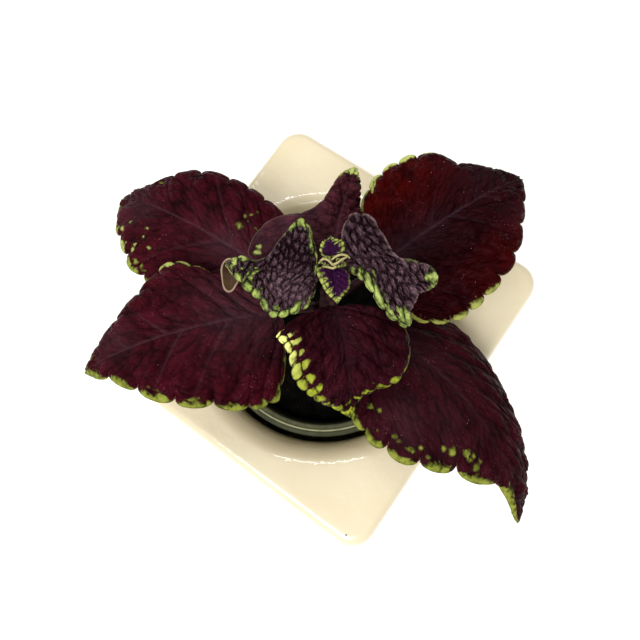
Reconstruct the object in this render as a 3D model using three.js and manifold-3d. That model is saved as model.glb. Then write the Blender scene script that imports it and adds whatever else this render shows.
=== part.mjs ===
// A young coleus in a plastic nursery pot, stood inside a glazed square planter.
// Millimetres and degrees, +Z up. The origin is the centre of the planter's base.

import * as THREE from 'three';
import Module from 'manifold-3d';

const wasm = await Module();
wasm.setup();

const FIT_GAP = 0.3;

// ---- Driving dimensions: the glazed planter, square outside with a round neck ----
const PLANTER_WIDTH = 105;
const PLANTER_LENGTH = 110;
const PLANTER_HEIGHT = 80;
const PLANTER_BASE_WIDTH = 90;
const PLANTER_CORNER = 7.5;
const PLANTER_BASE_CORNER = 7;
const PLANTER_WALL = 6;
const PLANTER_FLOOR = 6;
const LIP_ROUND = 3;
const FOOT_ROUND = 2;
const SHOULDER_RADIUS = 48;
const NECK_RADIUS = 39.5;
const NECK_DROP = 7;
const SHELF_THICKNESS = 9;

// ---- Driving dimensions: the thin nursery pot, a three-inch grower's pot ----
const NURSERY_RIM_RADIUS = 38;
const NURSERY_MOUTH_RADIUS = 34.2;
const NURSERY_BASE_RADIUS = 27;
const NURSERY_RIM_DROP = 4;
const NURSERY_WALL = 1;
const NURSERY_FLOOR = 1.2;
const NURSERY_SKIRT = 6;
const RIM_STEP_RADIUS = 36.2;
const RIM_STEP_DROP = 1.4;
const DRAIN_HOLES = 6;
const DRAIN_HOLE_RADIUS = 3.5;
const DRAIN_CIRCLE_RADIUS = 18;

// ---- Driving dimensions: the soil and the stem ----
const SOIL_BELOW_RIM = 8;
const SOIL_LUMP = 0.9;
const STEM_HOLE_RADIUS = 3.8;
const STEM_ROOT_DEPTH = 24;
const STEM_WIDTH_LOW = 5.2;
const STEM_WIDTH_TOP = 2.6;
const STEM_NODE_SWELL = 0.18;
const STEM_CORNER_REACH = 1.2;
const STEM_SIDE_REACH = 0.96;
const STEM_LEAN = { x: 5.1, y: 5.3 };
const STEM_LEAN_POWER = 1.3;
const SHOOT_HEIGHT = 58;

// ---- Driving dimensions shared by every leaf ----
const FAN_OPENS_BY = 0.45;
const LOBE_ROUNDNESS = 0.7;
const BASE_ROUNDED_BY = 0.07;
const PETIOLE_RADIUS = 1.3;
const RIB_STEPS = 60;

// ---- Levels worked out from the sizes above ----
const PLANTER_TOP = PLANTER_HEIGHT;
const NURSERY_BOTTOM = PLANTER_FLOOR + FIT_GAP;
const NURSERY_TOP = PLANTER_TOP - NURSERY_RIM_DROP;
const SOIL_TOP = NURSERY_TOP - SOIL_BELOW_RIM;
const SOIL_BOTTOM = NURSERY_BOTTOM + NURSERY_FLOOR + FIT_GAP;
const STEM_BOTTOM = SOIL_TOP - STEM_ROOT_DEPTH;
const STEM_TOP = PLANTER_TOP + 53;

// ---- The leaves, from the lowest pair up; each pair stands across the one below ----
// height: the node on the stem, above the base. heading: seen from above, from +X towards +Y.
// rise: slope where the blade starts. droop: how far it has turned down at the tip.
// curl: an extra turn down close to the tip. sweep: turn to the left along the blade.
// roll and twist: tilt of the blade round its rib, and how much more by the tip.
// left and right: half widths at each sixth of the length, before the tip is rounded off.
// fold: how far each half stands up from the rib. bend: how far it has turned down at its edge.
// fanBase and fanTip: how far the side veins lean forward, at the base and further out.
// lobes and lobeDepth: the scallops of each edge. pucker: the swelling between side veins.
const LEAVES = [
  {
    name: 'leaf_pair1_left', height: 88, heading: -179, petiole: 16, petioleRise: 35,
    length: 71, rise: 26, droop: 50, curl: 21, sweep: 8, roll: -2, twist: -3,
    left: [16.5, 25.5, 32, 35, 32, 29.5], right: [15, 23, 28.5, 31, 28, 20.5],
    foldLeft: 11, foldRight: 10, bendLeft: 29, bendRight: 32, fanBase: 2, fanTip: 27,
    lobes: 8, lobeDepth: 1.9, pucker: 0.8, thickness: 0.8, age: 'mature',
  },
  {
    name: 'leaf_pair1_right', height: 88, heading: 11, petiole: 14, petioleRise: 35,
    length: 83.5, rise: 22, droop: 52, curl: 15, sweep: -56, roll: 14, twist: 13,
    left: [23, 27, 29, 29.5, 30, 29], right: [20.5, 34.5, 37.5, 31.5, 23, 10],
    foldLeft: 0.5, foldRight: 11, bendLeft: 44, bendRight: 29, fanBase: 6, fanTip: 28,
    lobes: 9, lobeDepth: 2.4, pucker: 0.8, thickness: 0.8, age: 'mature',
  },
  {
    name: 'leaf_pair2_front', height: 100, heading: -130, petiole: 15, petioleRise: 25,
    length: 62.5, rise: 35, droop: 50, curl: 23, sweep: 6, roll: -6, twist: 0,
    left: [25, 31, 31, 30, 25.5, 17.5], right: [8.5, 18, 31.5, 29, 25, 20],
    foldLeft: 13, foldRight: 8, bendLeft: 27, bendRight: 32, fanBase: 5, fanTip: 17,
    lobes: 8, lobeDepth: 2.6, pucker: 0.8, thickness: 0.8, age: 'mature',
  },
  {
    name: 'leaf_pair2_back', height: 100, heading: 64, petiole: 16.5, petioleRise: 29,
    length: 56.5, rise: 35, droop: 50, curl: 26, sweep: 4, roll: 1, twist: 0,
    left: [8.5, 25, 31, 30.5, 23.5, 19], right: [15.5, 29, 32.5, 32.5, 29, 23],
    foldLeft: 11, foldRight: 12, bendLeft: 30, bendRight: 28, fanBase: 0, fanTip: 22,
    lobes: 9, lobeDepth: 1.9, pucker: 0.8, thickness: 0.8, age: 'mature',
  },
  {
    name: 'leaf_pair3_front', height: 116, heading: -36, petiole: 6.5, petioleRise: 27,
    length: 33.5, rise: 25, droop: 81, curl: -2, sweep: -23, roll: 4, twist: 1,
    left: [5.5, 19.5, 23, 20.5, 12.5, 6], right: [20, 18, 21, 19.5, 17.5, 13.5],
    foldLeft: 12, foldRight: 15, bendLeft: 37, bendRight: 33, fanBase: -3, fanTip: 35,
    lobes: 8, lobeDepth: 1.4, pucker: 0.6, thickness: 0.8, age: 'mature',
  },
  {
    name: 'leaf_pair3_back', height: 116, heading: 116, petiole: 4.5, petioleRise: 36,
    length: 34, rise: 19, droop: 41, curl: -3, sweep: -9, roll: -17, twist: -8,
    left: [22.5, 20.5, 12.5, 10.5, 10.5, 10], right: [9, 13, 15, 13.5, 12, 11],
    foldLeft: 10, foldRight: -1, bendLeft: 30, bendRight: 46, fanBase: 8, fanTip: 41,
    lobes: 7, lobeDepth: 1, pucker: 0.6, thickness: 0.8, age: 'mature',
  },
  {
    name: 'leaf_pair4_left', height: 128, heading: -143, petiole: 3.6, petioleRise: 29,
    length: 24, rise: 29, droop: 27, curl: 9, sweep: -12, roll: 9, twist: 7,
    left: [6.5, 12, 15.5, 12.5, 11.5, 9.5], right: [4.5, 15.5, 11.5, 6, 3.5, 6.5],
    foldLeft: 13, foldRight: 20, bendLeft: 28, bendRight: 20, fanBase: -4, fanTip: 21,
    lobes: 7, lobeDepth: 1, pucker: 0.5, thickness: 0.7, age: 'young',
  },
  {
    name: 'leaf_pair4_right', height: 128, heading: 39, petiole: 8, petioleRise: 47,
    length: 22.5, rise: 16, droop: 39, curl: 1, sweep: -28, roll: -9, twist: -1,
    left: [12, 14, 7, 3.5, 5, 6.5], right: [1, 5, 16, 21.5, 14, 9.5],
    foldLeft: 16, foldRight: 10, bendLeft: 24, bendRight: 27, fanBase: -10, fanTip: 22,
    lobes: 7, lobeDepth: 1, pucker: 0.5, thickness: 0.7, age: 'young',
  },
];

// The newest pair, still fused with the growing tip.
const NEWEST_LEAVES = [
  {
    height: 136, heading: 124, petiole: 2, petioleRise: 50,
    length: 6, rise: 45, droop: 60, curl: 10, sweep: 7, roll: 0, twist: 0,
    left: [2, 3.5, 4, 4, 3.5, 2.5], right: [1.5, 3.5, 4.5, 4.5, 3.5, 2.5],
    foldLeft: 13, foldRight: 12, bendLeft: 29, bendRight: 29, fanBase: -2, fanTip: 34,
    lobes: 5, lobeDepth: 0.4, pucker: 0.15, thickness: 0.6, age: 'newest',
  },
  {
    height: 136, heading: -49, petiole: 1.5, petioleRise: 54,
    length: 9.5, rise: 30, droop: 50, curl: 10, sweep: 5, roll: 8, twist: 0,
    left: [2.5, 4.5, 5.5, 5.5, 4.5, 3.5], right: [4, 4.5, 4.5, 4.5, 4, 3],
    foldLeft: 14, foldRight: 20, bendLeft: 27, bendRight: 20, fanBase: -10, fanTip: 35,
    lobes: 6, lobeDepth: 0.4, pucker: 0.15, thickness: 0.6, age: 'newest',
  },
];

// Blade rows and columns: a few rows to each lobe, closer rows at the base and the tip.
const ROWS_PER_LOBE = { mature: 4, young: 4, newest: 3 };
const BASE_ROWS = [0, 0.012];
const TIP_ROWS = [0.965, 0.985, 0.997];
const LAST_EVEN_ROW = 0.94;
const COLUMNS = { mature: [0.36, 0.72, 1], young: [0.36, 0.72, 1], newest: [0.5, 1] };

const MATERIALS = {
  glaze: { color: 0xefe6c6, roughness: 0.22, metalness: 0 },
  nursery: { color: 0x4a4d42, roughness: 0.5, metalness: 0 },
  soil: { color: 0x15110e, roughness: 0.95, metalness: 0 },
  stem: { color: 0x4a2a33, roughness: 0.6, metalness: 0 },
  mature: { color: 0x35141e, roughness: 0.5, metalness: 0 },
  young: { color: 0x4b3743, roughness: 0.6, metalness: 0 },
  newest: { color: 0x4a2a66, roughness: 0.6, metalness: 0 },
};

// ---- Helpers ----
const radians = (degrees) => (degrees * Math.PI) / 180;
const mix = (a, b, share) => a + (b - a) * share;
const clamp01 = (x) => Math.min(1, Math.max(0, x));

function signedVolume(vertices, triangles) {
  let volume = 0;
  for (let i = 0; i < triangles.length; i += 3) {
    const [a, b, c] = [0, 1, 2].map((k) => vertices[triangles[i + k]]);
    volume += a.dot(b.clone().cross(c)) / 6;
  }
  return volume;
}

// A manifold-3d solid from points and triangles, turned so that its faces point out.
function toSolid(vertices, triangles) {
  const facing = signedVolume(vertices, triangles) > 0 ? triangles : triangles.slice().reverse();
  const vertProperties = new Float32Array(vertices.flatMap((v) => [v.x, v.y, v.z]));
  const triVerts = new Uint32Array(facing);
  return new wasm.Manifold(new wasm.Mesh({ numProp: 3, vertProperties, triVerts }));
}

// A closed skin through rings of equally many points; the two end rings are filled in.
function loft(rings) {
  const around = rings[0].length;
  const vertices = rings.flat();
  const triangles = [];
  for (let i = 0; i + 1 < rings.length; i++) {
    for (let j = 0; j < around; j++) {
      const a = i * around + j;
      const b = i * around + ((j + 1) % around);
      triangles.push(a, b, b + around, a, b + around, a + around);
    }
  }
  const fillEnd = (start, reversed) => {
    const middle = new THREE.Vector3();
    for (let j = 0; j < around; j++) middle.addScaledVector(vertices[start + j], 1 / around);
    const hub = vertices.push(middle) - 1;
    for (let j = 0; j < around; j++) {
      const a = start + j;
      const b = start + ((j + 1) % around);
      triangles.push(hub, ...(reversed ? [b, a] : [a, b]));
    }
  };
  fillEnd(0, true);
  fillEnd((rings.length - 1) * around, false);
  return toSolid(vertices, triangles);
}

function addPart(group, name, solid, material) {
  const { vertProperties, triVerts } = solid.getMesh();
  const geometry = new THREE.BufferGeometry();
  geometry.setAttribute('position', new THREE.BufferAttribute(new Float32Array(vertProperties), 3));
  geometry.setIndex(new THREE.BufferAttribute(new Uint32Array(triVerts), 1));
  geometry.computeVertexNormals();
  const mesh = new THREE.Mesh(geometry, new THREE.MeshStandardMaterial(material));
  mesh.name = name;
  group.add(mesh);
}

// ---- Planter ----
// Directions round the planter, closer together at the four rounded corners.
const CORNER_STEPS = [-36, -26, -16, -10, -7, -4, 0, 4, 7, 10, 16, 26];
const PLANTER_ANGLES = [45, 135, 225, 315].flatMap((corner) => [
  corner - 45,
  ...CORNER_STEPS.map((step) => corner + step),
  corner + 36,
]);

// How far a square with rounded corners reaches in one direction.
function squareReach(half, corner, degrees) {
  const angle = radians(Math.abs((((degrees % 90) + 90) % 90) - 45));
  const core = half - corner;
  const flat = half / Math.cos(radians(45) - angle);
  const onFlat = flat * Math.sin(radians(45) - angle) <= core;
  const along = core * Math.SQRT2 * Math.cos(angle);
  const across = core * Math.SQRT2 * Math.sin(angle);
  return onFlat ? flat : along + Math.sqrt(corner * corner - across * across);
}

const ringAt = (reachOf, z) =>
  PLANTER_ANGLES.map((degrees) => {
    const reach = reachOf(degrees);
    return new THREE.Vector3(reach * Math.cos(radians(degrees)), reach * Math.sin(radians(degrees)), z);
  });
// The square is drawn at the planter's width, then lengthened a little along Y.
const squareRing = (half, corner, z) =>
  ringAt((degrees) => squareReach(half, corner, degrees), z).map((point) =>
    point.setY((point.y * PLANTER_LENGTH) / PLANTER_WIDTH),
  );
const roundRing = (radius, z) => ringAt(() => radius, z);

function planter() {
  const half = PLANTER_WIDTH / 2;
  const baseHalf = PLANTER_BASE_WIDTH / 2;
  const lipLevel = PLANTER_TOP - LIP_ROUND;
  const outerHalfAt = (z) => mix(baseHalf, half, z / lipLevel);
  const shelfUnder = PLANTER_TOP - SHELF_THICKNESS;
  const innerHalfAt = (z) => outerHalfAt(z) - PLANTER_WALL;
  const innerCorner = PLANTER_CORNER - 2;
  const rings = [
    squareRing(baseHalf - FOOT_ROUND, PLANTER_BASE_CORNER - FOOT_ROUND / 2, 0),
    squareRing(baseHalf - FOOT_ROUND * 0.3, PLANTER_BASE_CORNER, FOOT_ROUND * 0.3),
    squareRing(baseHalf, PLANTER_BASE_CORNER, FOOT_ROUND),
  ];
  for (const turn of [0, 30, 60, 90]) {
    const reach = half - LIP_ROUND + LIP_ROUND * Math.cos(radians(turn));
    const level = lipLevel + LIP_ROUND * Math.sin(radians(turn));
    rings.push(squareRing(reach, PLANTER_CORNER - (half - reach) / 2, level));
  }
  // From the square lip the top runs almost level to a round shoulder and rolls down to the neck.
  rings.push(
    roundRing(SHOULDER_RADIUS, PLANTER_TOP - 0.3),
    roundRing(SHOULDER_RADIUS - 1.6, PLANTER_TOP - 0.8),
    roundRing(SHOULDER_RADIUS - 3.6, PLANTER_TOP - 2),
    roundRing(SHOULDER_RADIUS - 6.4, PLANTER_TOP - 4.4),
    roundRing(NECK_RADIUS, PLANTER_TOP - NECK_DROP),
    roundRing(NECK_RADIUS + 0.3, shelfUnder + 0.6),
    roundRing(NECK_RADIUS + 1.2, shelfUnder),
  );
  // Under the shelf the inside opens out to a square room that follows the outer wall.
  rings.push(
    squareRing(innerHalfAt(shelfUnder) - 1, innerCorner, shelfUnder - 1),
    squareRing(innerHalfAt(shelfUnder), innerCorner, shelfUnder - 3),
    squareRing(innerHalfAt(PLANTER_FLOOR), innerCorner - 1, PLANTER_FLOOR + 2),
    squareRing(innerHalfAt(PLANTER_FLOOR) - 2, innerCorner - 1, PLANTER_FLOOR),
  );
  return loft(rings);
}

// ---- Nursery pot ----
function turned(profile, around, heightShift = () => 0) {
  return loft(
    profile.map(([radius, z]) =>
      Array.from({ length: around }, (_, j) => {
        const angle = (2 * Math.PI * j) / around;
        const x = radius * Math.cos(angle);
        const y = radius * Math.sin(angle);
        return new THREE.Vector3(x, y, z + heightShift(x, y, z));
      }),
    ),
  );
}

// Inner radius of the nursery pot's wall at one level.
function nurseryInside(z) {
  const share = (z - NURSERY_BOTTOM) / (NURSERY_TOP - NURSERY_BOTTOM);
  return mix(NURSERY_BASE_RADIUS - NURSERY_WALL, NURSERY_MOUTH_RADIUS, share);
}

function nurseryPot() {
  const underFlange = NURSERY_TOP - RIM_STEP_DROP - 1;
  const skirtEnd = underFlange - NURSERY_SKIRT;
  const floorLevel = NURSERY_BOTTOM + NURSERY_FLOOR;
  const shell = turned(
    [
      [NURSERY_BASE_RADIUS - 1, NURSERY_BOTTOM],
      [NURSERY_BASE_RADIUS, NURSERY_BOTTOM + 0.8],
      [nurseryInside(underFlange) + NURSERY_WALL, underFlange],
      [NURSERY_RIM_RADIUS - NURSERY_WALL, underFlange - 0.2],
      [NURSERY_RIM_RADIUS - NURSERY_WALL, skirtEnd],
      [NURSERY_RIM_RADIUS, skirtEnd],
      [NURSERY_RIM_RADIUS, NURSERY_TOP - RIM_STEP_DROP - 0.3],
      [NURSERY_RIM_RADIUS - 0.4, NURSERY_TOP - RIM_STEP_DROP + 0.2],
      [RIM_STEP_RADIUS + 0.3, NURSERY_TOP - 0.4],
      [RIM_STEP_RADIUS, NURSERY_TOP],
      [RIM_STEP_RADIUS - 0.4, NURSERY_TOP - 0.4],
      [NURSERY_MOUTH_RADIUS + 0.3, NURSERY_TOP - 0.3],
      [NURSERY_MOUTH_RADIUS, NURSERY_TOP - 0.7],
      [nurseryInside(floorLevel), floorLevel],
    ],
    44,
  );
  let pot = shell;
  for (let k = 0; k < DRAIN_HOLES; k++) {
    const angle = (2 * Math.PI * k) / DRAIN_HOLES;
    const x = DRAIN_CIRCLE_RADIUS * Math.cos(angle);
    const y = DRAIN_CIRCLE_RADIUS * Math.sin(angle);
    const drill = turned([[DRAIN_HOLE_RADIUS, NURSERY_BOTTOM - 1], [DRAIN_HOLE_RADIUS, floorLevel + 1]], 16);
    pot = pot.subtract(drill.translate([x, y, 0]));
  }
  return pot;
}

// ---- Soil ----
// Lumps of potting mix: a few crossing waves, flat again at the pot's wall and at the stem.
function soilLump(x, y) {
  const radius = Math.hypot(x, y);
  const calm = clamp01((radius - STEM_HOLE_RADIUS) / 4) * clamp01((nurseryInside(SOIL_TOP) - radius) / 3);
  const waves = Math.sin(x * 0.9 + y * 0.31) + Math.sin(y * 1.13 - x * 0.42) + Math.sin(x * 0.37 + y * 0.71);
  return SOIL_LUMP * calm * waves * 0.5;
}

function soil() {
  const edge = nurseryInside(SOIL_TOP) - FIT_GAP - 0.1;
  const bed = turned(
    [
      [nurseryInside(SOIL_BOTTOM) - FIT_GAP - 0.1, SOIL_BOTTOM],
      [edge, SOIL_TOP - 0.4],
      [edge - 3.5, SOIL_TOP],
      [edge - 8, SOIL_TOP],
      [edge - 12.5, SOIL_TOP],
      [edge - 17, SOIL_TOP],
      [edge - 21.5, SOIL_TOP],
      [edge - 25.5, SOIL_TOP],
    ],
    36,
    (x, y, z) => (z > SOIL_TOP - 0.2 ? soilLump(x, y) : 0),
  );
  const holeBottom = STEM_BOTTOM - FIT_GAP;
  const hole = turned([[STEM_HOLE_RADIUS, holeBottom], [STEM_HOLE_RADIUS, SOIL_TOP + 5]], 20);
  return bed.subtract(hole);
}

// ---- Stem ----
// The stem's middle line: upright in the soil, then leaning a little more as it climbs.
function stemMiddle(z) {
  const climb = clamp01((z - SOIL_TOP) / (PLANTER_TOP + SHOOT_HEIGHT - SOIL_TOP));
  const share = climb ** STEM_LEAN_POWER;
  return new THREE.Vector3(STEM_LEAN.x * share, STEM_LEAN.y * share, z);
}

function stemHalfWidth(z) {
  const share = clamp01((z - SOIL_TOP) / (STEM_TOP - SOIL_TOP));
  const nearestNode = Math.min(...LEAVES.map((leaf) => Math.abs(leaf.height - z)));
  const swell = 1 + STEM_NODE_SWELL * Math.exp(-((nearestNode / 2.2) ** 2));
  return 0.5 * mix(STEM_WIDTH_LOW, STEM_WIDTH_TOP, share) * swell;
}

// A square section with rounded corners and a shallow groove down each side.
function stemReach(half, angle) {
  const towardsCorner = 0.5 - 0.5 * Math.cos(4 * angle);
  return half * mix(STEM_SIDE_REACH, STEM_CORNER_REACH, towardsCorner);
}

function stemSection(half, count) {
  return Array.from({ length: count }, (_, j) => {
    const angle = (2 * Math.PI * j) / count;
    const reach = stemReach(half, angle);
    return [reach * Math.cos(angle), reach * Math.sin(angle)];
  });
}

function stem() {
  const levels = [STEM_BOTTOM, SOIL_TOP - 4];
  for (let z = SOIL_TOP; z < STEM_TOP - 1; z += 3) levels.push(z);
  levels.push(STEM_TOP);
  return loft(
    levels.map((z) => {
      const middle = stemMiddle(z);
      const half = stemHalfWidth(z);
      return stemSection(half, 16).map(([x, y]) => new THREE.Vector3(middle.x + x, middle.y + y, z));
    }),
  );
}

// ---- Leaves ----
const direction = (heading, slope) => {
  const flat = Math.cos(radians(slope));
  const x = flat * Math.cos(radians(heading));
  const y = flat * Math.sin(radians(heading));
  return new THREE.Vector3(x, y, Math.sin(radians(slope)));
};

// A smooth curve through evenly spaced values, at share 0..1 of the way along.
function smoothThrough(values, share) {
  const spans = values.length - 1;
  const at = clamp01(share) * spans;
  const i = Math.min(Math.floor(at), spans - 1);
  const f = at - i;
  const before = i > 0 ? values[i - 1] : 2 * values[0] - values[1];
  const after = i + 2 <= spans ? values[i + 2] : 2 * values[spans] - values[spans - 1];
  const slopeIn = (values[i + 1] - before) / 2;
  const slopeOut = (after - values[i]) / 2;
  return (
    (2 * f ** 3 - 3 * f ** 2 + 1) * values[i] + (f ** 3 - 2 * f ** 2 + f) * slopeIn +
    (3 * f ** 2 - 2 * f ** 3) * values[i + 1] + (f ** 3 - f ** 2) * slopeOut
  );
}

// Half width of one side: its values, rounded off at the base and to nothing at the tip.
function halfWidth(values, along) {
  const full = smoothThrough([...values, values[values.length - 1] * 0.8], along);
  const base = mix(0.3, 1, Math.sqrt(clamp01(along / BASE_ROUNDED_BY)));
  return Math.max(full, 0.2) * base * Math.sqrt(Math.max(0, 1 - along));
}

// The rib: points and directions from the end of the petiole to the tip.
function ribOf(leaf) {
  const points = [petioleEnd(leaf)];
  const directions = [];
  for (let i = 0; i < RIB_STEPS; i++) {
    const t = i / (RIB_STEPS - 1);
    directions.push(direction(leaf.heading + leaf.sweep * t, leaf.rise - leaf.droop * t - leaf.curl * t ** 4));
  }
  for (let i = 1; i < RIB_STEPS; i++) {
    const step = directions[i - 1].clone().add(directions[i]);
    points.push(points[i - 1].clone().addScaledVector(step, (0.5 * leaf.length) / (RIB_STEPS - 1)));
  }
  return { points, directions };
}

function petioleEnd(leaf) {
  const out = direction(leaf.heading, leaf.petioleRise);
  return stemMiddle(leaf.height).addScaledVector(out, leaf.petiole);
}

// Returns the function from (along 0..1, across -1..1) to a point of the blade's middle surface.
// Lines of equal "along" follow the side veins, so they lean forward like a fan.
function bladeSurface(leaf) {
  const rib = ribOf(leaf);
  const sample = (list, along) => {
    const at = clamp01(along) * (RIB_STEPS - 1);
    const i = Math.min(Math.floor(at), RIB_STEPS - 2);
    return list[i].clone().lerp(list[i + 1], at - i);
  };
  return (along, across) => {
    const forward = sample(rib.directions, along).normalize();
    const heading = radians(leaf.heading + leaf.sweep * along);
    const level = new THREE.Vector3(Math.sin(heading), -Math.cos(heading), 0);
    const upright = level.clone().cross(forward);
    const roll = radians(leaf.roll + leaf.twist * along);
    const side = level.clone().multiplyScalar(Math.cos(roll)).addScaledVector(upright, Math.sin(roll));
    const up = upright.multiplyScalar(Math.cos(roll)).addScaledVector(level, -Math.sin(roll));
    const right = across > 0;
    const reach = Math.abs(across);
    const notch = 1 - Math.abs(Math.sin(Math.PI * leaf.lobes * along)) ** LOBE_ROUNDNESS;
    const cut = leaf.lobeDepth * notch * clamp01((1 - along) * 8) * reach ** 2;
    const width = halfWidth(right ? leaf.right : leaf.left, along) - cut;
    const fold = radians(right ? leaf.foldRight : leaf.foldLeft);
    const bend = radians(right ? leaf.bendRight : leaf.bendLeft);
    const out = (Math.sin(fold) - Math.sin(fold - bend * reach)) / bend;
    const lift = (Math.cos(fold - bend * reach) - Math.cos(fold)) / bend;
    const fan = radians(mix(leaf.fanBase, leaf.fanTip, clamp01(along / FAN_OPENS_BY) ** 0.8));
    const betweenVeins = Math.abs(Math.cos(Math.PI * leaf.lobes * along));
    const fade = clamp01(along * 6) * clamp01((1 - along) * 6);
    const swelling = leaf.pucker * (betweenVeins - 0.5) * Math.sin(Math.PI * Math.min(1, reach)) * fade;
    return sample(rib.points, along)
      .addScaledVector(forward, width * reach * Math.sin(fan))
      .addScaledVector(side, width * out * Math.cos(fan) * (right ? 1 : -1))
      .addScaledVector(up, width * lift + swelling);
  };
}

function blade(leaf) {
  const surface = bladeSurface(leaf);
  const evenRows = leaf.lobes * ROWS_PER_LOBE[leaf.age];
  const even = Array.from({ length: evenRows }, (_, i) => (i + 1) / evenRows);
  const rows = [...BASE_ROWS, ...even.filter((t) => t < LAST_EVEN_ROW), ...TIP_ROWS];
  const half = COLUMNS[leaf.age];
  const columns = [...half.map((s) => -s).reverse(), 0, ...half];
  const nudge = 0.004;
  const vertices = [];
  for (const face of [1, -1]) {
    for (const t of rows) {
      for (const s of columns) {
        const ahead = surface(Math.min(t + nudge, 0.999), s).sub(surface(Math.max(t - nudge, 0), s));
        const aside = surface(t, Math.min(s + 0.05, 1)).sub(surface(t, Math.max(s - 0.05, -1)));
        const normal = aside.cross(ahead).normalize();
        vertices.push(surface(t, s).addScaledVector(normal, (face * leaf.thickness) / 2));
      }
    }
  }
  const wide = columns.length;
  const under = rows.length * wide;
  const triangles = [];
  for (let i = 0; i + 1 < rows.length; i++) {
    for (let j = 0; j + 1 < wide; j++) {
      const a = i * wide + j;
      const quad = [a, a + 1, a + wide + 1, a, a + wide + 1, a + wide];
      triangles.push(...quad, ...quad.map((v) => v + under).reverse());
    }
  }
  const rim = [];
  for (let j = 0; j < wide; j++) rim.push(j);
  for (let i = 1; i < rows.length; i++) rim.push(i * wide + wide - 1);
  for (let j = wide - 2; j >= 0; j--) rim.push((rows.length - 1) * wide + j);
  for (let i = rows.length - 2; i > 0; i--) rim.push(i * wide);
  rim.forEach((a, k) => {
    const b = rim[(k + 1) % rim.length];
    triangles.push(b, a, a + under, b, a + under, b + under);
  });
  return toSolid(vertices, triangles);
}

// Where a petiole starts, measured up its slope from the stem's middle: just clear of the stem
// over the petiole's own width.
function clearOfStem(leaf) {
  const half = stemHalfWidth(leaf.height);
  const reaches = [-30, -15, 0, 15, 30].map(
    (turn) => stemReach(half, radians(leaf.heading + turn)) * Math.cos(radians(turn)),
  );
  return (Math.max(...reaches) + FIT_GAP) / Math.cos(radians(leaf.petioleRise));
}

// The petiole and, running on under the blade, the thick lower part of the rib.
function petiole(leaf, rooted = false) {
  const out = direction(leaf.heading, leaf.petioleRise);
  const scale = clamp01(0.45 + leaf.length / 60);
  const start = rooted ? 0 : clearOfStem(leaf);
  const rib = ribOf(leaf).points;
  const path = [
    stemMiddle(leaf.height).addScaledVector(out, start),
    stemMiddle(leaf.height).addScaledVector(out, mix(start, leaf.petiole, 0.5)),
    rib[0],
    rib[Math.round(RIB_STEPS * 0.12)],
    rib[Math.round(RIB_STEPS * 0.3)],
    rib[Math.round(RIB_STEPS * 0.55)],
  ];
  const radii = [1.1, 0.95, 0.9, 0.8, 0.65, 0.4].map((share) => share * PETIOLE_RADIUS * scale);
  const rings = path.map((point, i) => {
    const ahead = path[Math.min(i + 1, path.length - 1)].clone().sub(path[Math.max(i - 1, 0)]).normalize();
    // The first ring stands upright, cut to the side of the stem.
    if (i === 0) ahead.setZ(0).normalize();
    const level = new THREE.Vector3(ahead.y, -ahead.x, 0).normalize();
    const upright = level.clone().cross(ahead);
    const sunk = i < 3 ? 0 : radii[i] * 0.7;
    return Array.from({ length: 8 }, (_, j) => {
      const angle = (2 * Math.PI * j) / 8;
      return point
        .clone()
        .addScaledVector(level, radii[i] * Math.cos(angle))
        .addScaledVector(upright, radii[i] * Math.sin(angle) - sunk);
    });
  });
  return loft(rings);
}

// ---- Growing tip: the newest pair and two folded leaflets on a short core ----
const TIP_BOTTOM = STEM_TOP + FIT_GAP;
const LEAFLET_HEIGHT = 138;
const FOLDED_LEAFLETS = [
  { heading: 22, length: 4.6, rise: 42 },
  { heading: 202, length: 4.2, rise: 36 },
];

function growingTip() {
  const low = stemMiddle(TIP_BOTTOM);
  const top = stemMiddle(LEAFLET_HEIGHT + 0.8);
  const coreRing = (share, radius) => {
    const middle = low.clone().lerp(top, share);
    return Array.from({ length: 10 }, (_, j) => {
      const angle = (2 * Math.PI * j) / 10;
      return new THREE.Vector3(radius * Math.cos(angle), radius * Math.sin(angle), 0).add(middle);
    });
  };
  let tip = loft([coreRing(0, 1.5), coreRing(0.35, 1.6), coreRing(0.7, 1.1), coreRing(1, 0.6)]);
  for (const leaf of NEWEST_LEAVES) tip = tip.add(blade(leaf)).add(petiole(leaf, true));
  for (const { heading, length, rise } of FOLDED_LEAFLETS) {
    const leaflet = {
      heading, rise, height: LEAFLET_HEIGHT, petiole: 0.4, petioleRise: 20, length,
      droop: 55, curl: 10, sweep: 8, roll: 0, twist: 0,
      left: [1.2, 1.5, 1.6, 1.5, 1.3, 1], right: [1.2, 1.5, 1.6, 1.5, 1.3, 1],
      foldLeft: 40, foldRight: 40, bendLeft: 20, bendRight: 20, fanBase: 10, fanTip: 30,
      lobes: 3, lobeDepth: 0.15, pucker: 0, thickness: 0.6, age: 'newest',
    };
    tip = tip.add(blade(leaflet));
  }
  return tip;
}

// ---- The whole plant in its two pots ----
const coleus = new THREE.Group();
addPart(coleus, 'ceramic_planter', planter(), MATERIALS.glaze);
addPart(coleus, 'nursery_pot', nurseryPot(), MATERIALS.nursery);
addPart(coleus, 'potting_soil', soil(), MATERIALS.soil);
addPart(coleus, 'stem', stem(), MATERIALS.stem);
for (const leaf of LEAVES) {
  addPart(coleus, leaf.name, blade(leaf).add(petiole(leaf)), MATERIALS[leaf.age]);
}
addPart(coleus, 'growing_tip', growingTip(), MATERIALS.newest);

export default coleus;
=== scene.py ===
# %% [markdown]
# # A young coleus in two pots
# This lesson dresses a finished CAD model of a potted coleus: a glazed square planter, a plastic
# nursery pot standing in it, potting mix, a square stem, four pairs of leaves and a growing tip.
# The CAD part fixes every size and place. Here each piece gets the fine shape and the finish that
# the solids leave out: veins, puckers, scalloped edges, glaze, moulded plastic and crumbs of soil.
# The frame comes first, because every later piece is set against its boxes.

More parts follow.
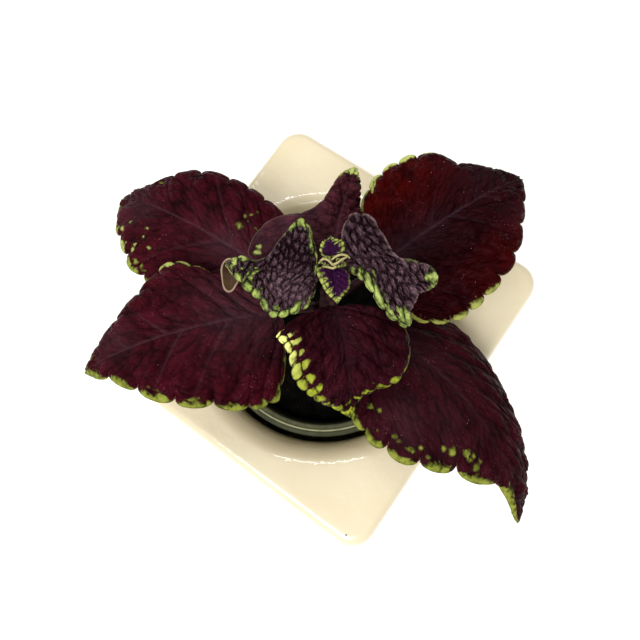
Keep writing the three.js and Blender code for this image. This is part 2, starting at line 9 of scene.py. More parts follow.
# %% Load the frame
import math
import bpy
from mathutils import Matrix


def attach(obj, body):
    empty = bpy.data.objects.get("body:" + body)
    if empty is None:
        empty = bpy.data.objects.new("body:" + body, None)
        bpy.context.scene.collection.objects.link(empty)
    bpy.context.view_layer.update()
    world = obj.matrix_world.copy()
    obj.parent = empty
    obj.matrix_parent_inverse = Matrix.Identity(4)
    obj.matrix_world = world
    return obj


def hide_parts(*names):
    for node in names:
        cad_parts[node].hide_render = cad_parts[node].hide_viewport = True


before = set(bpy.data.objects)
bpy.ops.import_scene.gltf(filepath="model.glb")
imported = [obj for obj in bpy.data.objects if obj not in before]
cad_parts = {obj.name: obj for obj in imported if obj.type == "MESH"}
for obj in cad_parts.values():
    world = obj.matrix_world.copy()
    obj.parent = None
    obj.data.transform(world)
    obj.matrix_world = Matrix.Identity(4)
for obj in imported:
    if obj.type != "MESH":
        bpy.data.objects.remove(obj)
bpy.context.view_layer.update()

from types import SimpleNamespace

import bpy
import numpy as np
from mathutils import Matrix, Vector

MM = 0.001

# %% [markdown]
# ## The camera
# The plant is seen from almost straight above, with the pot turned so that one corner points down
# the picture. Azimuth and height say where the camera stands round the pot, and roll turns the
# picture. A look-at constraint would do it too, but building the three axes by hand shows exactly
# how a camera's matrix works: its third axis points backwards, away from what it sees.

# %% Camera
CAMERA_AROUND = 55.0
CAMERA_HEIGHT_ANGLE = 76.0
CAMERA_ROLL = -20.2
CAMERA_DISTANCE = 208.8
LOOK_AT = Vector((-1.05, 0.03, 80.0))
LENS = 34.65


def camera_axes():
    around, high, roll = map(math.radians, (CAMERA_AROUND, CAMERA_HEIGHT_ANGLE, CAMERA_ROLL))
    back = Vector((math.sin(around) * math.cos(high), -math.cos(around) * math.cos(high),
                   math.sin(high)))
    level = (-back).cross(Vector((0, 0, 1))).normalized()
    upright = level.cross(-back)
    right = level * math.cos(roll) + upright * math.sin(roll)
    up = upright * math.cos(roll) - level * math.sin(roll)
    return right, up, back


right, up, back = camera_axes()
bpy.ops.object.camera_add(location=(LOOK_AT + back * CAMERA_DISTANCE) * MM,
                          rotation=Matrix((right, up, back)).transposed().to_euler())
camera = bpy.context.active_object
camera.name = "plant_camera"
camera.data.lens = LENS
camera.data.clip_start = 0.01
bpy.context.scene.camera = camera
bpy.context.scene.view_settings.view_transform = "Standard"
print("camera at", [round(v, 3) for v in camera.location])

# %% [markdown]
# ## The floor and the shade
# A plain pale floor keeps the eye on the plant. It glows a little, like a light table, so that the
# pot's shadow on it stays faint, and a grey-white world fills the shade under the leaves.

# %% Floor and world
FLOOR_HALF = 3.0
WORLD_SHADE, WORLD_STRENGTH = (1.0, 0.975, 0.91, 1), 0.57
PAPER = {"Base Color": (0.93, 0.93, 0.93, 1), "Roughness": 0.9, "Emission Color": (1, 1, 1, 1),
         "Emission Strength": 0.3}

bpy.ops.mesh.primitive_plane_add(size=2 * FLOOR_HALF, location=(0, 0, 0))
floor = bpy.context.active_object
floor.name = "studio_floor"
paper = bpy.data.materials.new("floor_paper")
paper.use_nodes = True
for socket, value in PAPER.items():
    paper.node_tree.nodes["Principled BSDF"].inputs[socket].default_value = value
floor.data.materials.append(paper)

world = bpy.data.worlds.new("studio_world")
bpy.context.scene.world = world
world.use_nodes = True
backdrop = world.node_tree.nodes["Background"]
backdrop.inputs["Color"].default_value = WORLD_SHADE
backdrop.inputs["Strength"].default_value = WORLD_STRENGTH
print("floor", 2 * FLOOR_HALF, "m wide")

# %% [markdown]
# ## Soft light
# One broad panel stands for a bright ceiling, a smaller one rakes across the leaves from the left
# and brings out their relief, and three small panels side by side stand for window panes: glaze
# shows them as thin broken glints, which is how one reads a surface as glossy.

# %% Light panels
PLANT_HEART = (0, 0, 0.08)
PANE_PLACES = ((-0.31, 0.13), (-0.28, 0.22), (-0.23, 0.30))


def panel(name, place, width, height, watts, colour=(1, 1, 1)):
    turn = (Vector(place) - Vector(PLANT_HEART)).to_track_quat("Z", "Y")
    bpy.ops.object.light_add(type="AREA", location=place, rotation=turn.to_euler())
    lamp = bpy.context.active_object
    lamp.name = name
    lamp.data.shape = "RECTANGLE"
    lamp.data.size = width
    lamp.data.size_y = height
    lamp.data.energy = watts
    lamp.data.color = colour


panel("key_panel", (0.10, -0.75, 1.15), 0.7, 0.7, 11.8, (1.0, 0.99, 0.985))
panel("left_panel", (-0.66, 0.10, 1.05), 0.4, 0.4, 2.2)
for k, (x, y) in enumerate(PANE_PLACES):
    panel(f"window_pane_{k}", (x, y, 1.28), 0.06, 0.12, 0.30)
print("panels:", 2 + len(PANE_PLACES))

# %% [markdown]
# ## Shaping a skin from a grid
# Most pieces here are skins over a net of points: a leaf is a net along and across its rib, a pot
# is a net round and down its wall. The grid primitive makes such a net with its points in known
# order, row after row, so a table of places drops straight onto it. Round pieces close where the
# first and last columns meet, so their doubles are merged, and the merged shell's faces are then
# turned outwards.

# %% Grid helpers
def only(piece):
    bpy.ops.object.select_all(action="DESELECT")
    piece.select_set(True)
    bpy.context.view_layer.objects.active = piece


def shaped_grid(name, points):
    rows, columns = points.shape[:2]
    bpy.ops.object.select_all(action="DESELECT")
    bpy.ops.mesh.primitive_grid_add(x_subdivisions=columns - 1, y_subdivisions=rows - 1, size=1)
    piece = bpy.context.active_object
    piece.name = name
    piece.data.name = name
    piece.data.vertices.foreach_set("co", (points * MM).ravel())
    piece.data.update()
    return piece


def close_seams(piece, merge=0.02):
    only(piece)
    bpy.ops.object.mode_set(mode="EDIT")
    bpy.ops.mesh.select_all(action="SELECT")
    bpy.ops.mesh.remove_doubles(threshold=merge * MM)
    bpy.ops.mesh.normals_make_consistent(inside=False)
    bpy.ops.object.mode_set(mode="OBJECT")
    bpy.ops.object.shade_smooth()


def ring(radius, z, angles, middle=(0, 0)):
    """Points round a level ring. The radius is one number, or one for each angle."""
    x, y = middle[0] + radius * np.cos(angles), middle[1] + radius * np.sin(angles)
    return np.stack([x, y, z + 0 * angles], 1)


# %% Piece helpers
def give(piece, *finishes):
    for finish in finishes:
        piece.data.materials.append(finish)


def thicken(piece, thickness, **settings):
    only(piece)
    step = piece.modifiers.new("thickness", "SOLIDIFY")
    for key, value in dict(settings, thickness=thickness * MM, use_even_offset=False).items():
        setattr(step, key, value)
    bpy.ops.object.modifier_apply(modifier=step.name)


def join(piece, *others):
    only(piece)
    for other in others:
        other.select_set(True)
    bpy.ops.object.join()


def dress(piece, slot, *nodes):
    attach(piece, "root")
    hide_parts(*nodes)
    print(piece.name, len(piece.data.polygons), "faces")


# %% [markdown]
# ## Wiring a finish
# A finish is a small graph: textures give numbers, steps and sums shape them, and mixes turn them
# into colours. Wiring nodes by hand takes many lines, so one helper adds a node, sets its sockets
# and links what it is given. Everything reads object coordinates or an attribute of the piece, so
# the pattern stays on the piece from every side.

# %% Finish helpers
class Finish:
    """A material in the making. Sockets are named as in Blender, with _ for a space."""

    def __init__(self, name, **sockets):
        self.material = bpy.data.materials.new(name)
        self.material.use_nodes = True
        self.tree = self.material.node_tree
        self.shader = self.tree.nodes["Principled BSDF"]
        self.finish(**sockets)

    def finish(self, **sockets):
        shader_inputs = self.shader.inputs
        self.set({shader_inputs[key.replace("_", " ")]: value for key, value in sockets.items()})
        return self.material

    def set(self, sockets):
        for socket, value in sockets.items():
            if isinstance(value, bpy.types.NodeSocket):
                self.tree.links.new(value, socket)
            elif isinstance(value, tuple) and socket.type == "RGBA":
                socket.default_value = (*value, 1)
            else:
                socket.default_value = value

    def node(self, kind, sockets=(), **settings):
        node = self.tree.nodes.new("ShaderNode" + kind)
        for key, value in settings.items():
            setattr(node, key, value)
        self.set({node.inputs[key]: value for key, value in dict(sockets).items()})
        return node

    def place(self):
        return self.node("TexCoord").outputs["Object"]

    def off_axis(self):
        """Distance from the pot's upright axis."""
        level = (1.0, 1.0, 0.0)
        flat = self.node("VectorMath", {0: self.place(), 1: level}, operation="MULTIPLY")
        length = self.node("VectorMath", {0: flat.outputs["Vector"]}, operation="LENGTH")
        return length.outputs["Value"]

    def attribute(self, name):
        return self.node("Attribute", attribute_name=name).outputs["Fac"]

    def noise(self, grains_per_mm, detail=3.0, roughness=0.55):
        sockets = {"Vector": self.place(), "Scale": grains_per_mm / MM, "Detail": detail,
                   "Roughness": roughness}
        return self.node("TexNoise", sockets).outputs["Fac"]

    def cells(self, cells_per_mm):
        """Distance to the nearest seed of a cell pattern."""
        sockets = {"Vector": self.place(), "Scale": cells_per_mm / MM}
        return self.node("TexVoronoi", sockets).outputs["Distance"]

    def math(self, operation, a, b):
        return self.node("Math", {0: a, 1: b}, operation=operation).outputs[0]

    def plus(self, a, b):
        return self.math("ADD", a, b)

    def minus(self, a, b):
        return self.math("SUBTRACT", a, b)

    def times(self, a, b):
        return self.math("MULTIPLY", a, b)

    def sway(self, amount, grains_per_mm, detail):
        """Noise that swings by half this amount to either side of nothing."""
        return self.times(self.minus(self.noise(grains_per_mm, detail), 0.5), amount)

    def step(self, value, low, high):
        return self.node("MapRange", {"Value": value, "From Min": low, "From Max": high},
                         interpolation_type="SMOOTHSTEP").outputs["Result"]

    def mix(self, share, a, b):
        node = self.node("Mix", data_type="RGBA")
        sockets = {socket.identifier: socket for socket in node.inputs}
        self.set({sockets["Factor_Float"]: share, sockets["A_Color"]: a, sockets["B_Color"]: b})
        return {socket.identifier: socket for socket in node.outputs}["Result_Color"]

    def bump(self, height, depth_mm, strength=1.0, onto=None):
        sockets = {"Height": height, "Distance": depth_mm * MM, "Strength": strength}
        if onto is not None:
            sockets["Normal"] = onto
        return self.node("Bump", sockets).outputs["Normal"]


# %% [markdown]
# ## The planter's glaze
# Cream glaze over pale clay is glassy on top, with body colour below. Its colour drifts by a shade
# over some centimetres, it carries a few iron specks, and the neck is darkened with painted shade.
# A clear coat over a slightly rough base gives both the crisp glints and the soft glow.

# %% Glaze
GLAZE = (0.87, 0.775, 0.55)
GLAZE_THIN = (0.83, 0.72, 0.49)
# Painted shade in the neck.
GLAZE_NECK_SHADE = (0.60, 0.50, 0.29)
IRON_SPECK = (0.12, 0.08, 0.05)
NECK_SHADE_INNER, NECK_SHADE_OUTER = 41.0 * MM, 49.0 * MM


def glaze():
    f = Finish("cream_glaze", Roughness=0.28, Coat_Weight=0.8, Coat_Roughness=0.03, IOR=1.45)
    body = f.mix(f.step(f.noise(0.035, 2.0), 0.35, 0.7), GLAZE, GLAZE_THIN)
    # Painted shade: inside the shoulder the neck is darker and browner, as shade falls into it.
    in_neck = f.minus(1.0, f.step(f.off_axis(), NECK_SHADE_INNER, NECK_SHADE_OUTER))
    body = f.mix(f.times(in_neck, 0.85), body, GLAZE_NECK_SHADE)
    close = f.math("LESS_THAN", f.cells(0.11), 0.035)
    chosen = f.math("GREATER_THAN", f.noise(0.05, 1.0), 0.56)
    colour = f.mix(f.times(close, chosen), body, IRON_SPECK)
    ripple = f.bump(f.noise(0.2, 2.0), 0.28, 0.7)
    return f.finish(Base_Color=colour, Normal=ripple, Coat_Normal=ripple)


cream_glaze = glaze()
print(cream_glaze.name, len(cream_glaze.node_tree.nodes), "nodes")

# %% [markdown]
# ## Rings between square and round
# The planter is square outside and round inside its neck. A square ring with rounded corners comes
# from how far the outline reaches in each direction, and points are set closer together at the
# corners, where the outline turns.

# %% Square and round rings
PLANTER_WIDTH, PLANTER_LENGTH, PLANTER_HEIGHT = 105.0, 110.0, 80.0
RING_POINTS, CORNER_CROWDING = 240, 0.2
turn = np.linspace(0, 2 * math.pi, RING_POINTS + 1)
RING_ANGLES = turn + CORNER_CROWDING * np.sin(4 * turn)


def square_reach(half, corner, angles):
    off_corner = np.abs(np.mod(angles, math.pi / 2) - math.pi / 4)
    core = half - corner
    flat = half / np.cos(math.pi / 4 - off_corner)
    across = core * math.sqrt(2) * np.sin(off_corner)
    round_off = core * math.sqrt(2) * np.cos(off_corner) + np.sqrt(np.maximum(corner**2 - across**2, 0))
    return np.where(flat * np.sin(math.pi / 4 - off_corner) <= core, flat, round_off)


def square_ring(half, corner, z):
    square = ring(square_reach(half, corner, RING_ANGLES), z, RING_ANGLES)
    square[:, 1] = square[:, 1] * PLANTER_LENGTH / PLANTER_WIDTH
    return square


def round_ring(radius, z):
    return ring(radius, z, RING_ANGLES)


def between(ring_a, ring_b, share, z):
    blend = ring_a * (1 - share) + ring_b * share
    blend[:, 2] = z
    return blend


print("ring of", RING_POINTS, "points, corner reach",
      round(float(square_reach(PLANTER_WIDTH / 2, 7.5, RING_ANGLES).max()), 1), "mm")

# %% [markdown]
# ## The glazed planter
# The real one is slip-cast: square outside, with a rounded lip, and from the lip the top runs
# almost level to a round shoulder that rolls over into a round neck. A cube with a hole cut in it
# would have hard edges in the wrong places. Rings that change from square to round, one under the
# other, give the same soft roll-over as the mould does. They run from the middle of the foot up the
# outside, over the lip, down the neck and along the inside to the middle of the floor.

# %% Planter
PLANTER_BASE_WIDTH = 90.0
PLANTER_CORNER, BASE_CORNER, INNER_CORNER = 7.5, 7.0, 5.0
PLANTER_WALL, PLANTER_FLOOR = 6.0, 6.0
LIP_ROUND, FOOT_ROUND, TOP_SINK = 3.0, 2.0, 0.35
SHOULDER_RADIUS, NECK_RADIUS, SHELF_THICKNESS = 48.0, 39.6, 9.0


def planter_rings():
    half, base, top = PLANTER_WIDTH / 2, PLANTER_BASE_WIDTH / 2, PLANTER_HEIGHT
    lip = top - LIP_ROUND
    rings = [square_ring(share * base, BASE_CORNER * share, 0.8) for share in (0.001, 0.4, 0.8)]
    rings.append(square_ring(base - 4, BASE_CORNER - 1, 0.7))
    rings.append(square_ring(base - 3, BASE_CORNER - 1, 0.0))
    for angle in np.radians((0, 30, 60, 90)):
        inset = FOOT_ROUND * (1 - math.sin(angle))
        z = FOOT_ROUND * (1 - math.cos(angle))
        rings.append(square_ring(base - inset, BASE_CORNER - inset / 2, z))
    for z in np.linspace(8, lip - 2, 9):
        rings.append(square_ring(base + (half - base) * z / lip, BASE_CORNER + 0.5 * z / lip, z))
    for angle in np.radians(np.linspace(0, 90, 9)):
        inset = LIP_ROUND * (1 - math.cos(angle))
        z = lip + LIP_ROUND * math.sin(angle)
        rings.append(square_ring(half - inset, PLANTER_CORNER - inset / 2, z))
    # The top runs from the square lip to the round shoulder, sinking by a hair.
    edge = square_ring(half - LIP_ROUND, PLANTER_CORNER - LIP_ROUND / 2, top)
    shoulder = round_ring(SHOULDER_RADIUS, top)
    rings += [between(edge, shoulder, share, top - TOP_SINK * share) for share in (0.15, 0.4, 0.7, 1.0)]
    # The roll-over: a quarter of an ellipse from level at the shoulder to upright at the neck.
    run, drop = SHOULDER_RADIUS - NECK_RADIUS, SHELF_THICKNESS - 1.0
    for angle in np.radians(np.linspace(6, 88, 13)):
        radius = SHOULDER_RADIUS - run * math.sin(angle)
        rings.append(round_ring(radius, top - TOP_SINK - drop * (1 - math.cos(angle))))
    inner, low, under = half - PLANTER_WALL, base - PLANTER_WALL, top - SHELF_THICKNESS
    rings += [round_ring(NECK_RADIUS + 0.4, under), round_ring(NECK_RADIUS + 1.6, under - 0.4)]
    rings.append(square_ring(inner - 2.2, INNER_CORNER, under - 0.8))
    rings.append(square_ring(inner - 0.8, INNER_CORNER, under - 3))
    for z in (50.0, 30.0, PLANTER_FLOOR + 3):
        rings.append(square_ring(low + (inner - low) * z / under, INNER_CORNER, z))
    rings.append(square_ring(low - 0.7, 4.5, PLANTER_FLOOR + 0.9))
    rings.append(square_ring(low - 2.5, 4.0, PLANTER_FLOOR))
    rings += [square_ring(low * share, 4 * share, PLANTER_FLOOR) for share in (0.5, 0.001)]
    return np.stack(rings)


planter = shaped_grid("glazed_planter", planter_rings())
close_seams(planter, merge=0.08)
give(planter, cream_glaze)
dress(planter, "planter_glaze", "ceramic_planter")

# %% [markdown]
# ## The nursery pot's plastic
# The plastic is near black. Its rim carries a grey-green painted reflection, and the ridge on top
# of it a paler painted highlight. Distance from the axis and height tell the shader where the rim is.

# %% Nursery plastic
PLASTIC = (0.008, 0.009, 0.006)
# Painted reflection on the rim's top band and side, and a painted highlight on its ridge.
RIM_TOP_REFLECTION = (0.130, 0.134, 0.072)
RIM_SIDE_REFLECTION = (0.072, 0.078, 0.040)
RIDGE_HIGHLIGHT = (0.42, 0.42, 0.25)
RIM_LOW, RIM_HIGH = 72.5 * MM, 74.2 * MM
BAND_INNER, BAND_OUTER, RIDGE_RADIUS = 35.5 * MM, 35.9 * MM, 36.1 * MM


def nursery_plastic():
    f = Finish("nursery_plastic", Roughness=0.55, Specular_IOR_Level=0.18)
    height = f.node("SeparateXYZ", {"Vector": f.place()}).outputs["Z"]
    radius = f.off_axis()
    rim = f.step(height, RIM_LOW, RIM_HIGH)
    band = f.minus(1.0, f.step(radius, BAND_INNER, BAND_OUTER))
    off_ridge = f.math("ABSOLUTE", f.minus(radius, RIDGE_RADIUS), 0.0)
    ridge = f.times(f.minus(1.0, f.step(off_ridge, 0.12 * MM, 0.38 * MM)), rim)
    # Painted reflection: the rim is lighter than the plastic, in patches.
    rim_reflection = f.mix(band, RIM_SIDE_REFLECTION, RIM_TOP_REFLECTION)
    patchy = f.plus(f.times(f.step(f.noise(0.5, 4.0), 0.3, 0.75), 0.35), 0.65)
    body = f.mix(f.times(rim, patchy), PLASTIC, rim_reflection)
    # Painted highlight along the ridge.
    ridge_glint = f.times(ridge, f.plus(f.times(f.step(f.noise(0.25, 3.0), 0.2, 0.6), 0.5), 0.5))
    colour = f.mix(ridge_glint, body, RIDGE_HIGHLIGHT)
    return f.finish(Base_Color=colour, Normal=f.bump(f.noise(1.6, 3.0), 0.05, 0.5))


grey_plastic = nursery_plastic()
print(grey_plastic.name, len(grey_plastic.node_tree.nodes), "nodes")

# %% [markdown]
# ## The nursery pot
# A grower's pot is thin blow-moulded plastic with a stepped, rolled rim: a small ridge, then a
# flat band, then a skirt. It is the same all round, so a profile turned about the upright axis is
# the natural way. The profile is one closed line of (radius, height) points: up the outside from
# the middle of the foot, over the rim, and down the inside to the middle of the floor.

# %% Nursery pot
TURNED_POINTS = 160
NURSERY_OUTSIDE = [
    (0.01, 6.9), (20, 6.9), (24.5, 6.8), (25.6, 6.4), (26.4, 6.35), (27.0, 7.2), (27.9, 14), (30.0, 34),
    (32.4, 56), (33.8, 71.5), (34.2, 73.3), (34.9, 73.6), (36.7, 73.4), (36.95, 73.1), (37.0, 71),
    (37.05, 67.7), (37.35, 67.35), (37.75, 67.45), (37.98, 67.9), (38.0, 70), (38.0, 73.9),
    (37.85, 74.35), (37.5, 74.65),
]
NURSERY_RIDGE = [
    (37.0, 74.8), (36.75, 75.0), (36.6, 75.5), (36.4, 75.85), (36.15, 76.0), (35.9, 75.92),
    (35.65, 75.7),
]
NURSERY_INSIDE = [
    (35.2, 75.55), (34.7, 75.6), (34.35, 75.5), (34.15, 75.2), (34.0, 74), (32.9, 70.8), (31.4, 56),
    (29.0, 34), (26.9, 14), (26.1, 8.3), (25.4, 7.7), (24.4, 7.55), (20, 7.5), (0.01, 7.5),
]


def turned(name, profile):
    angles = np.linspace(0, 2 * math.pi, TURNED_POINTS + 1)
    piece = shaped_grid(name, np.stack([ring(radius, z, angles) for radius, z in profile]))
    close_seams(piece)
    return piece


nursery = turned("grower_pot", NURSERY_OUTSIDE + NURSERY_RIDGE + NURSERY_INSIDE)
give(nursery, grey_plastic)
dress(nursery, "nursery_plastic", "nursery_pot")

# %% [markdown]
# ## The bed of potting mix
# Peat-based mix is a bed of black crumbs with bits of bark. A displaced disc alone looks like
# tar, so two layers are used: a lumpy bed here, and loose crumbs in the next cell. The bed is one
# closed skin: from the foot of the stem's hole out over the top, and down to the pot's floor.

# %% Bed of potting mix
SOIL_TOP, SOIL_BOTTOM = 68.0, 8.2
SOIL_EDGE_RADIUS, SOIL_BASE_RADIUS = 31.7, 25.8
STEM_HOLE, STEM_DEPTH = 3.25, 9.6
SOIL_POINTS, SOIL_RINGS = 121, 30


def soil_height(x, y):
    waves = np.sin(0.9 * x + 0.31 * y) + np.sin(1.13 * y - 0.42 * x) + np.sin(0.37 * x + 0.71 * y)
    fine = np.sin(2.7 * x - 1.3 * y) * np.sin(2.1 * y + 0.9 * x)
    return SOIL_TOP - 0.3 + 0.35 * waves + 0.25 * fine


def soil_points():
    angles = np.linspace(0, 2 * math.pi, SOIL_POINTS)
    rings = [ring(0, SOIL_TOP - STEM_DEPTH - 0.5, angles)]
    for radius in (STEM_HOLE, *np.linspace(STEM_HOLE + 0.1, SOIL_EDGE_RADIUS, SOIL_RINGS)):
        sunk = STEM_DEPTH if radius == STEM_HOLE else 0.0
        height = soil_height(radius * np.cos(angles), radius * np.sin(angles))
        rings.append(ring(radius, height - sunk, angles))
    for share in (0.08, 0.5, 1.0):
        radius = SOIL_EDGE_RADIUS + (SOIL_BASE_RADIUS - SOIL_EDGE_RADIUS) * share
        rings.append(ring(radius, SOIL_TOP - 1 + (SOIL_BOTTOM - SOIL_TOP + 1) * share, angles))
    return np.stack([*rings, ring(0, SOIL_BOTTOM, angles)])


soil = shaped_grid("peat_bed", soil_points())
close_seams(soil)
print("bed of", len(soil.data.polygons), "faces")

# %% [markdown]
# ## Loose crumbs
# A few hundred crumbs of a few faces each lie half sunk into the bed. Each is a dented and turned
# copy of one small ball. The random places come from a seeded generator, so each run gives the
# same bed.

# %% Crumbs
CRUMBS = 420
chance = np.random.default_rng(7)


def crumb_points(ball):
    radius = math.sqrt(chance.uniform(0.02, 0.96)) * (SOIL_EDGE_RADIUS - 1.2)
    angle = chance.uniform(0, 2 * math.pi)
    x, y = radius * math.cos(angle), radius * math.sin(angle)
    longest = chance.uniform(0.35, 1.1)
    size = longest * np.array([1.0, chance.uniform(0.5, 0.9), chance.uniform(0.35, 0.7)])
    dented = ball * chance.uniform(0.75, 1.15, (len(ball), 1)) * size
    spin = chance.uniform(0, 2 * math.pi)
    turned_x = dented[:, 0] * math.cos(spin) - dented[:, 1] * math.sin(spin)
    turned_y = dented[:, 0] * math.sin(spin) + dented[:, 1] * math.cos(spin)
    return np.stack([turned_x, turned_y, dented[:, 2]], 1) + (x, y, soil_height(x, y) + 0.15)


def scatter_crumbs():
    bpy.ops.object.select_all(action="DESELECT")
    bpy.ops.mesh.primitive_ico_sphere_add(subdivisions=1, radius=1)
    start = bpy.context.active_object
    ball = np.array([v.co[:] for v in start.data.vertices])
    faces = np.array([p.vertices[:] for p in start.data.polygons])
    points = np.concatenate([crumb_points(ball) for _ in range(CRUMBS)])
    all_faces = np.concatenate([faces + k * len(ball) for k in range(CRUMBS)])
    mesh = bpy.data.meshes.new("crumbs")
    mesh.from_pydata((points * MM).tolist(), [], all_faces.tolist())
    bpy.data.objects.remove(start)
    crumbs = bpy.data.objects.new("crumbs", mesh)
    bpy.context.collection.objects.link(crumbs)
    return crumbs


join(soil, scatter_crumbs())
print("bed and crumbs:", len(soil.data.polygons), "faces")

# %% [markdown]
# ## Peat and bark
# Damp peat is almost black, and its colours are set darker still as painted shade down in the pot.
# Dry crumbs are a shade paler, and bits of bark are brown, so two noises pick between three dark
# colours, over a strong, rough bump.

# %% Peat
# Partly the peat's own colour, partly painted shade.
PEAT, PEAT_DAMP = (0.0045, 0.0040, 0.0035), (0.0012, 0.0011, 0.0010)
BARK = (0.022, 0.014, 0.009)


def potting_finish():
    f = Finish("potting_peat", Roughness=0.9, Specular_IOR_Level=0.06)
    damp = f.step(f.noise(0.35, 4.0), 0.4, 0.65)
    bark = f.step(f.noise(0.55, 2.0), 0.66, 0.72)
    return f.finish(Base_Color=f.mix(bark, f.mix(damp, PEAT, PEAT_DAMP), BARK),
                    Normal=f.bump(f.noise(1.8, 5.0, 0.7), 0.5, 1.0))


give(soil, potting_finish())
dress(soil, "potting_mix", "potting_soil")

# %% [markdown]
# ## Where the leaves hang: the stem's middle line
# Every leaf starts at a node of the stem, so the stem's middle line comes first. It stands upright
# in the soil and leans a little more as it climbs. The same few lines of arithmetic as in the
# solid's source keep every blade where its solid is.

# %% Directions and smooth values
STEM_LEAN = (5.1, 5.3)
STEM_CLIMB = 70.0
STEM_TOP = 133.0


def stem_middle(z):
    share = np.clip((z - SOIL_TOP) / STEM_CLIMB, 0, 1) ** 1.3
    return np.array([STEM_LEAN[0] * share, STEM_LEAN[1] * share, z])


def direction(heading, slope):
    heading, slope = np.radians(heading), np.radians(slope)
    return np.stack([np.cos(heading) * np.cos(slope), np.sin(heading) * np.cos(slope),
                     np.sin(slope) + 0 * heading], -1)


def smooth_through(values, share):
    """A curve through evenly spaced values, read at a share 0..1 of its length."""
    v = np.asarray(values, float)
    spans = len(v) - 1
    at = np.clip(share, 0, 1) * spans
    i = np.minimum(np.floor(at).astype(int), spans - 1)
    f = at - i
    v = np.concatenate([[2 * v[0] - v[1]], v, [2 * v[-1] - v[-2]]])
    before, here, there, after = v[i], v[i + 1], v[i + 2], v[i + 3]
    return ((2 * f**3 - 3 * f**2 + 1) * here + (f**3 - 2 * f**2 + f) * (there - before) / 2
            + (3 * f**2 - 2 * f**3) * there + (f**3 - f**2) * (after - here) / 2)


print("stem's top, mm:", [round(float(v), 1) for v in stem_middle(STEM_TOP)])

# %% [markdown]
# ## What tells one leaf from another
# The leaves share one way of growing and differ in their numbers, in mm, degrees and shares of the
# length. What most of them have in common comes first:
#
# - `lean` and `veins`: how far the side veins run forward on each half, and how strong they are;
# - `grain`: how much of the relief is in broad, middle and small cells;
# - `level_cells`: the turn of a net of cells that is laid out level, for a short, broad blade;
# - `bead`, `gap`, `round`: the length of a bead of the lime margin, the dark line round it, and
#   whether beads are round;
# - `pad`, `bead_height`, `lens`, `hook`: how far lobes and beads stand up, how full the margin is
#   towards the ends of a lobe, and how far the edge turns down;
# - `sheen`, `pale`, `light`, `dim`, `smooth`: soft patches, each (share of the length, mm to the
#   right of the rib, size in mm, strength); `sheen` is a painted sheen, and `light` and `dim` are
#   painted light and painted shade;
# - `spots`: lime spots, each (share of the length, mm to the right of the rib, size in mm).

# %% What leaves have in common
COMMON = dict(
    lean=(0.18, 0.18), veins=0.6, grain=(0.45, 0.33, 0.22), level_cells=None,
    bead=3.2, gap=0.12, round=False, pad=0.5, bead_height=0.15, lens=0.8, hook=1.0,
    sheen=(), pale=(), light=(), dim=(), smooth=(), spots=())
print("values that leaves share:", len(COMMON))

# %% [markdown]
# ## The numbers of each leaf
# Each leaf starts at a height of the stem, with a petiole of its own heading, length and rise.
# `rise`, `droop` and `curl` are the slope of the rib at its base, its fall up to the tip and the
# extra fall of the tip; `sweep` is how far the rib turns sideways, and `roll` and `twist` lean the
# blade about it. `fan` is how far forward the halves point at base and tip, and `fold` and `bend`
# are how the left and right halves fold up from the rib and turn down again. `pucker` is the
# swelling between side veins, `cell` the length and width of a cell, and `relief` the cells' height.
#
# `left` and `right` are the widths of the halves at each sixth of the length. Each half also lists
# its notches, as (share of the length, depth), and how wide its lime margin is at each sixth.
# `flecks` is how often a cell of the blade inside the margin has stayed lime.

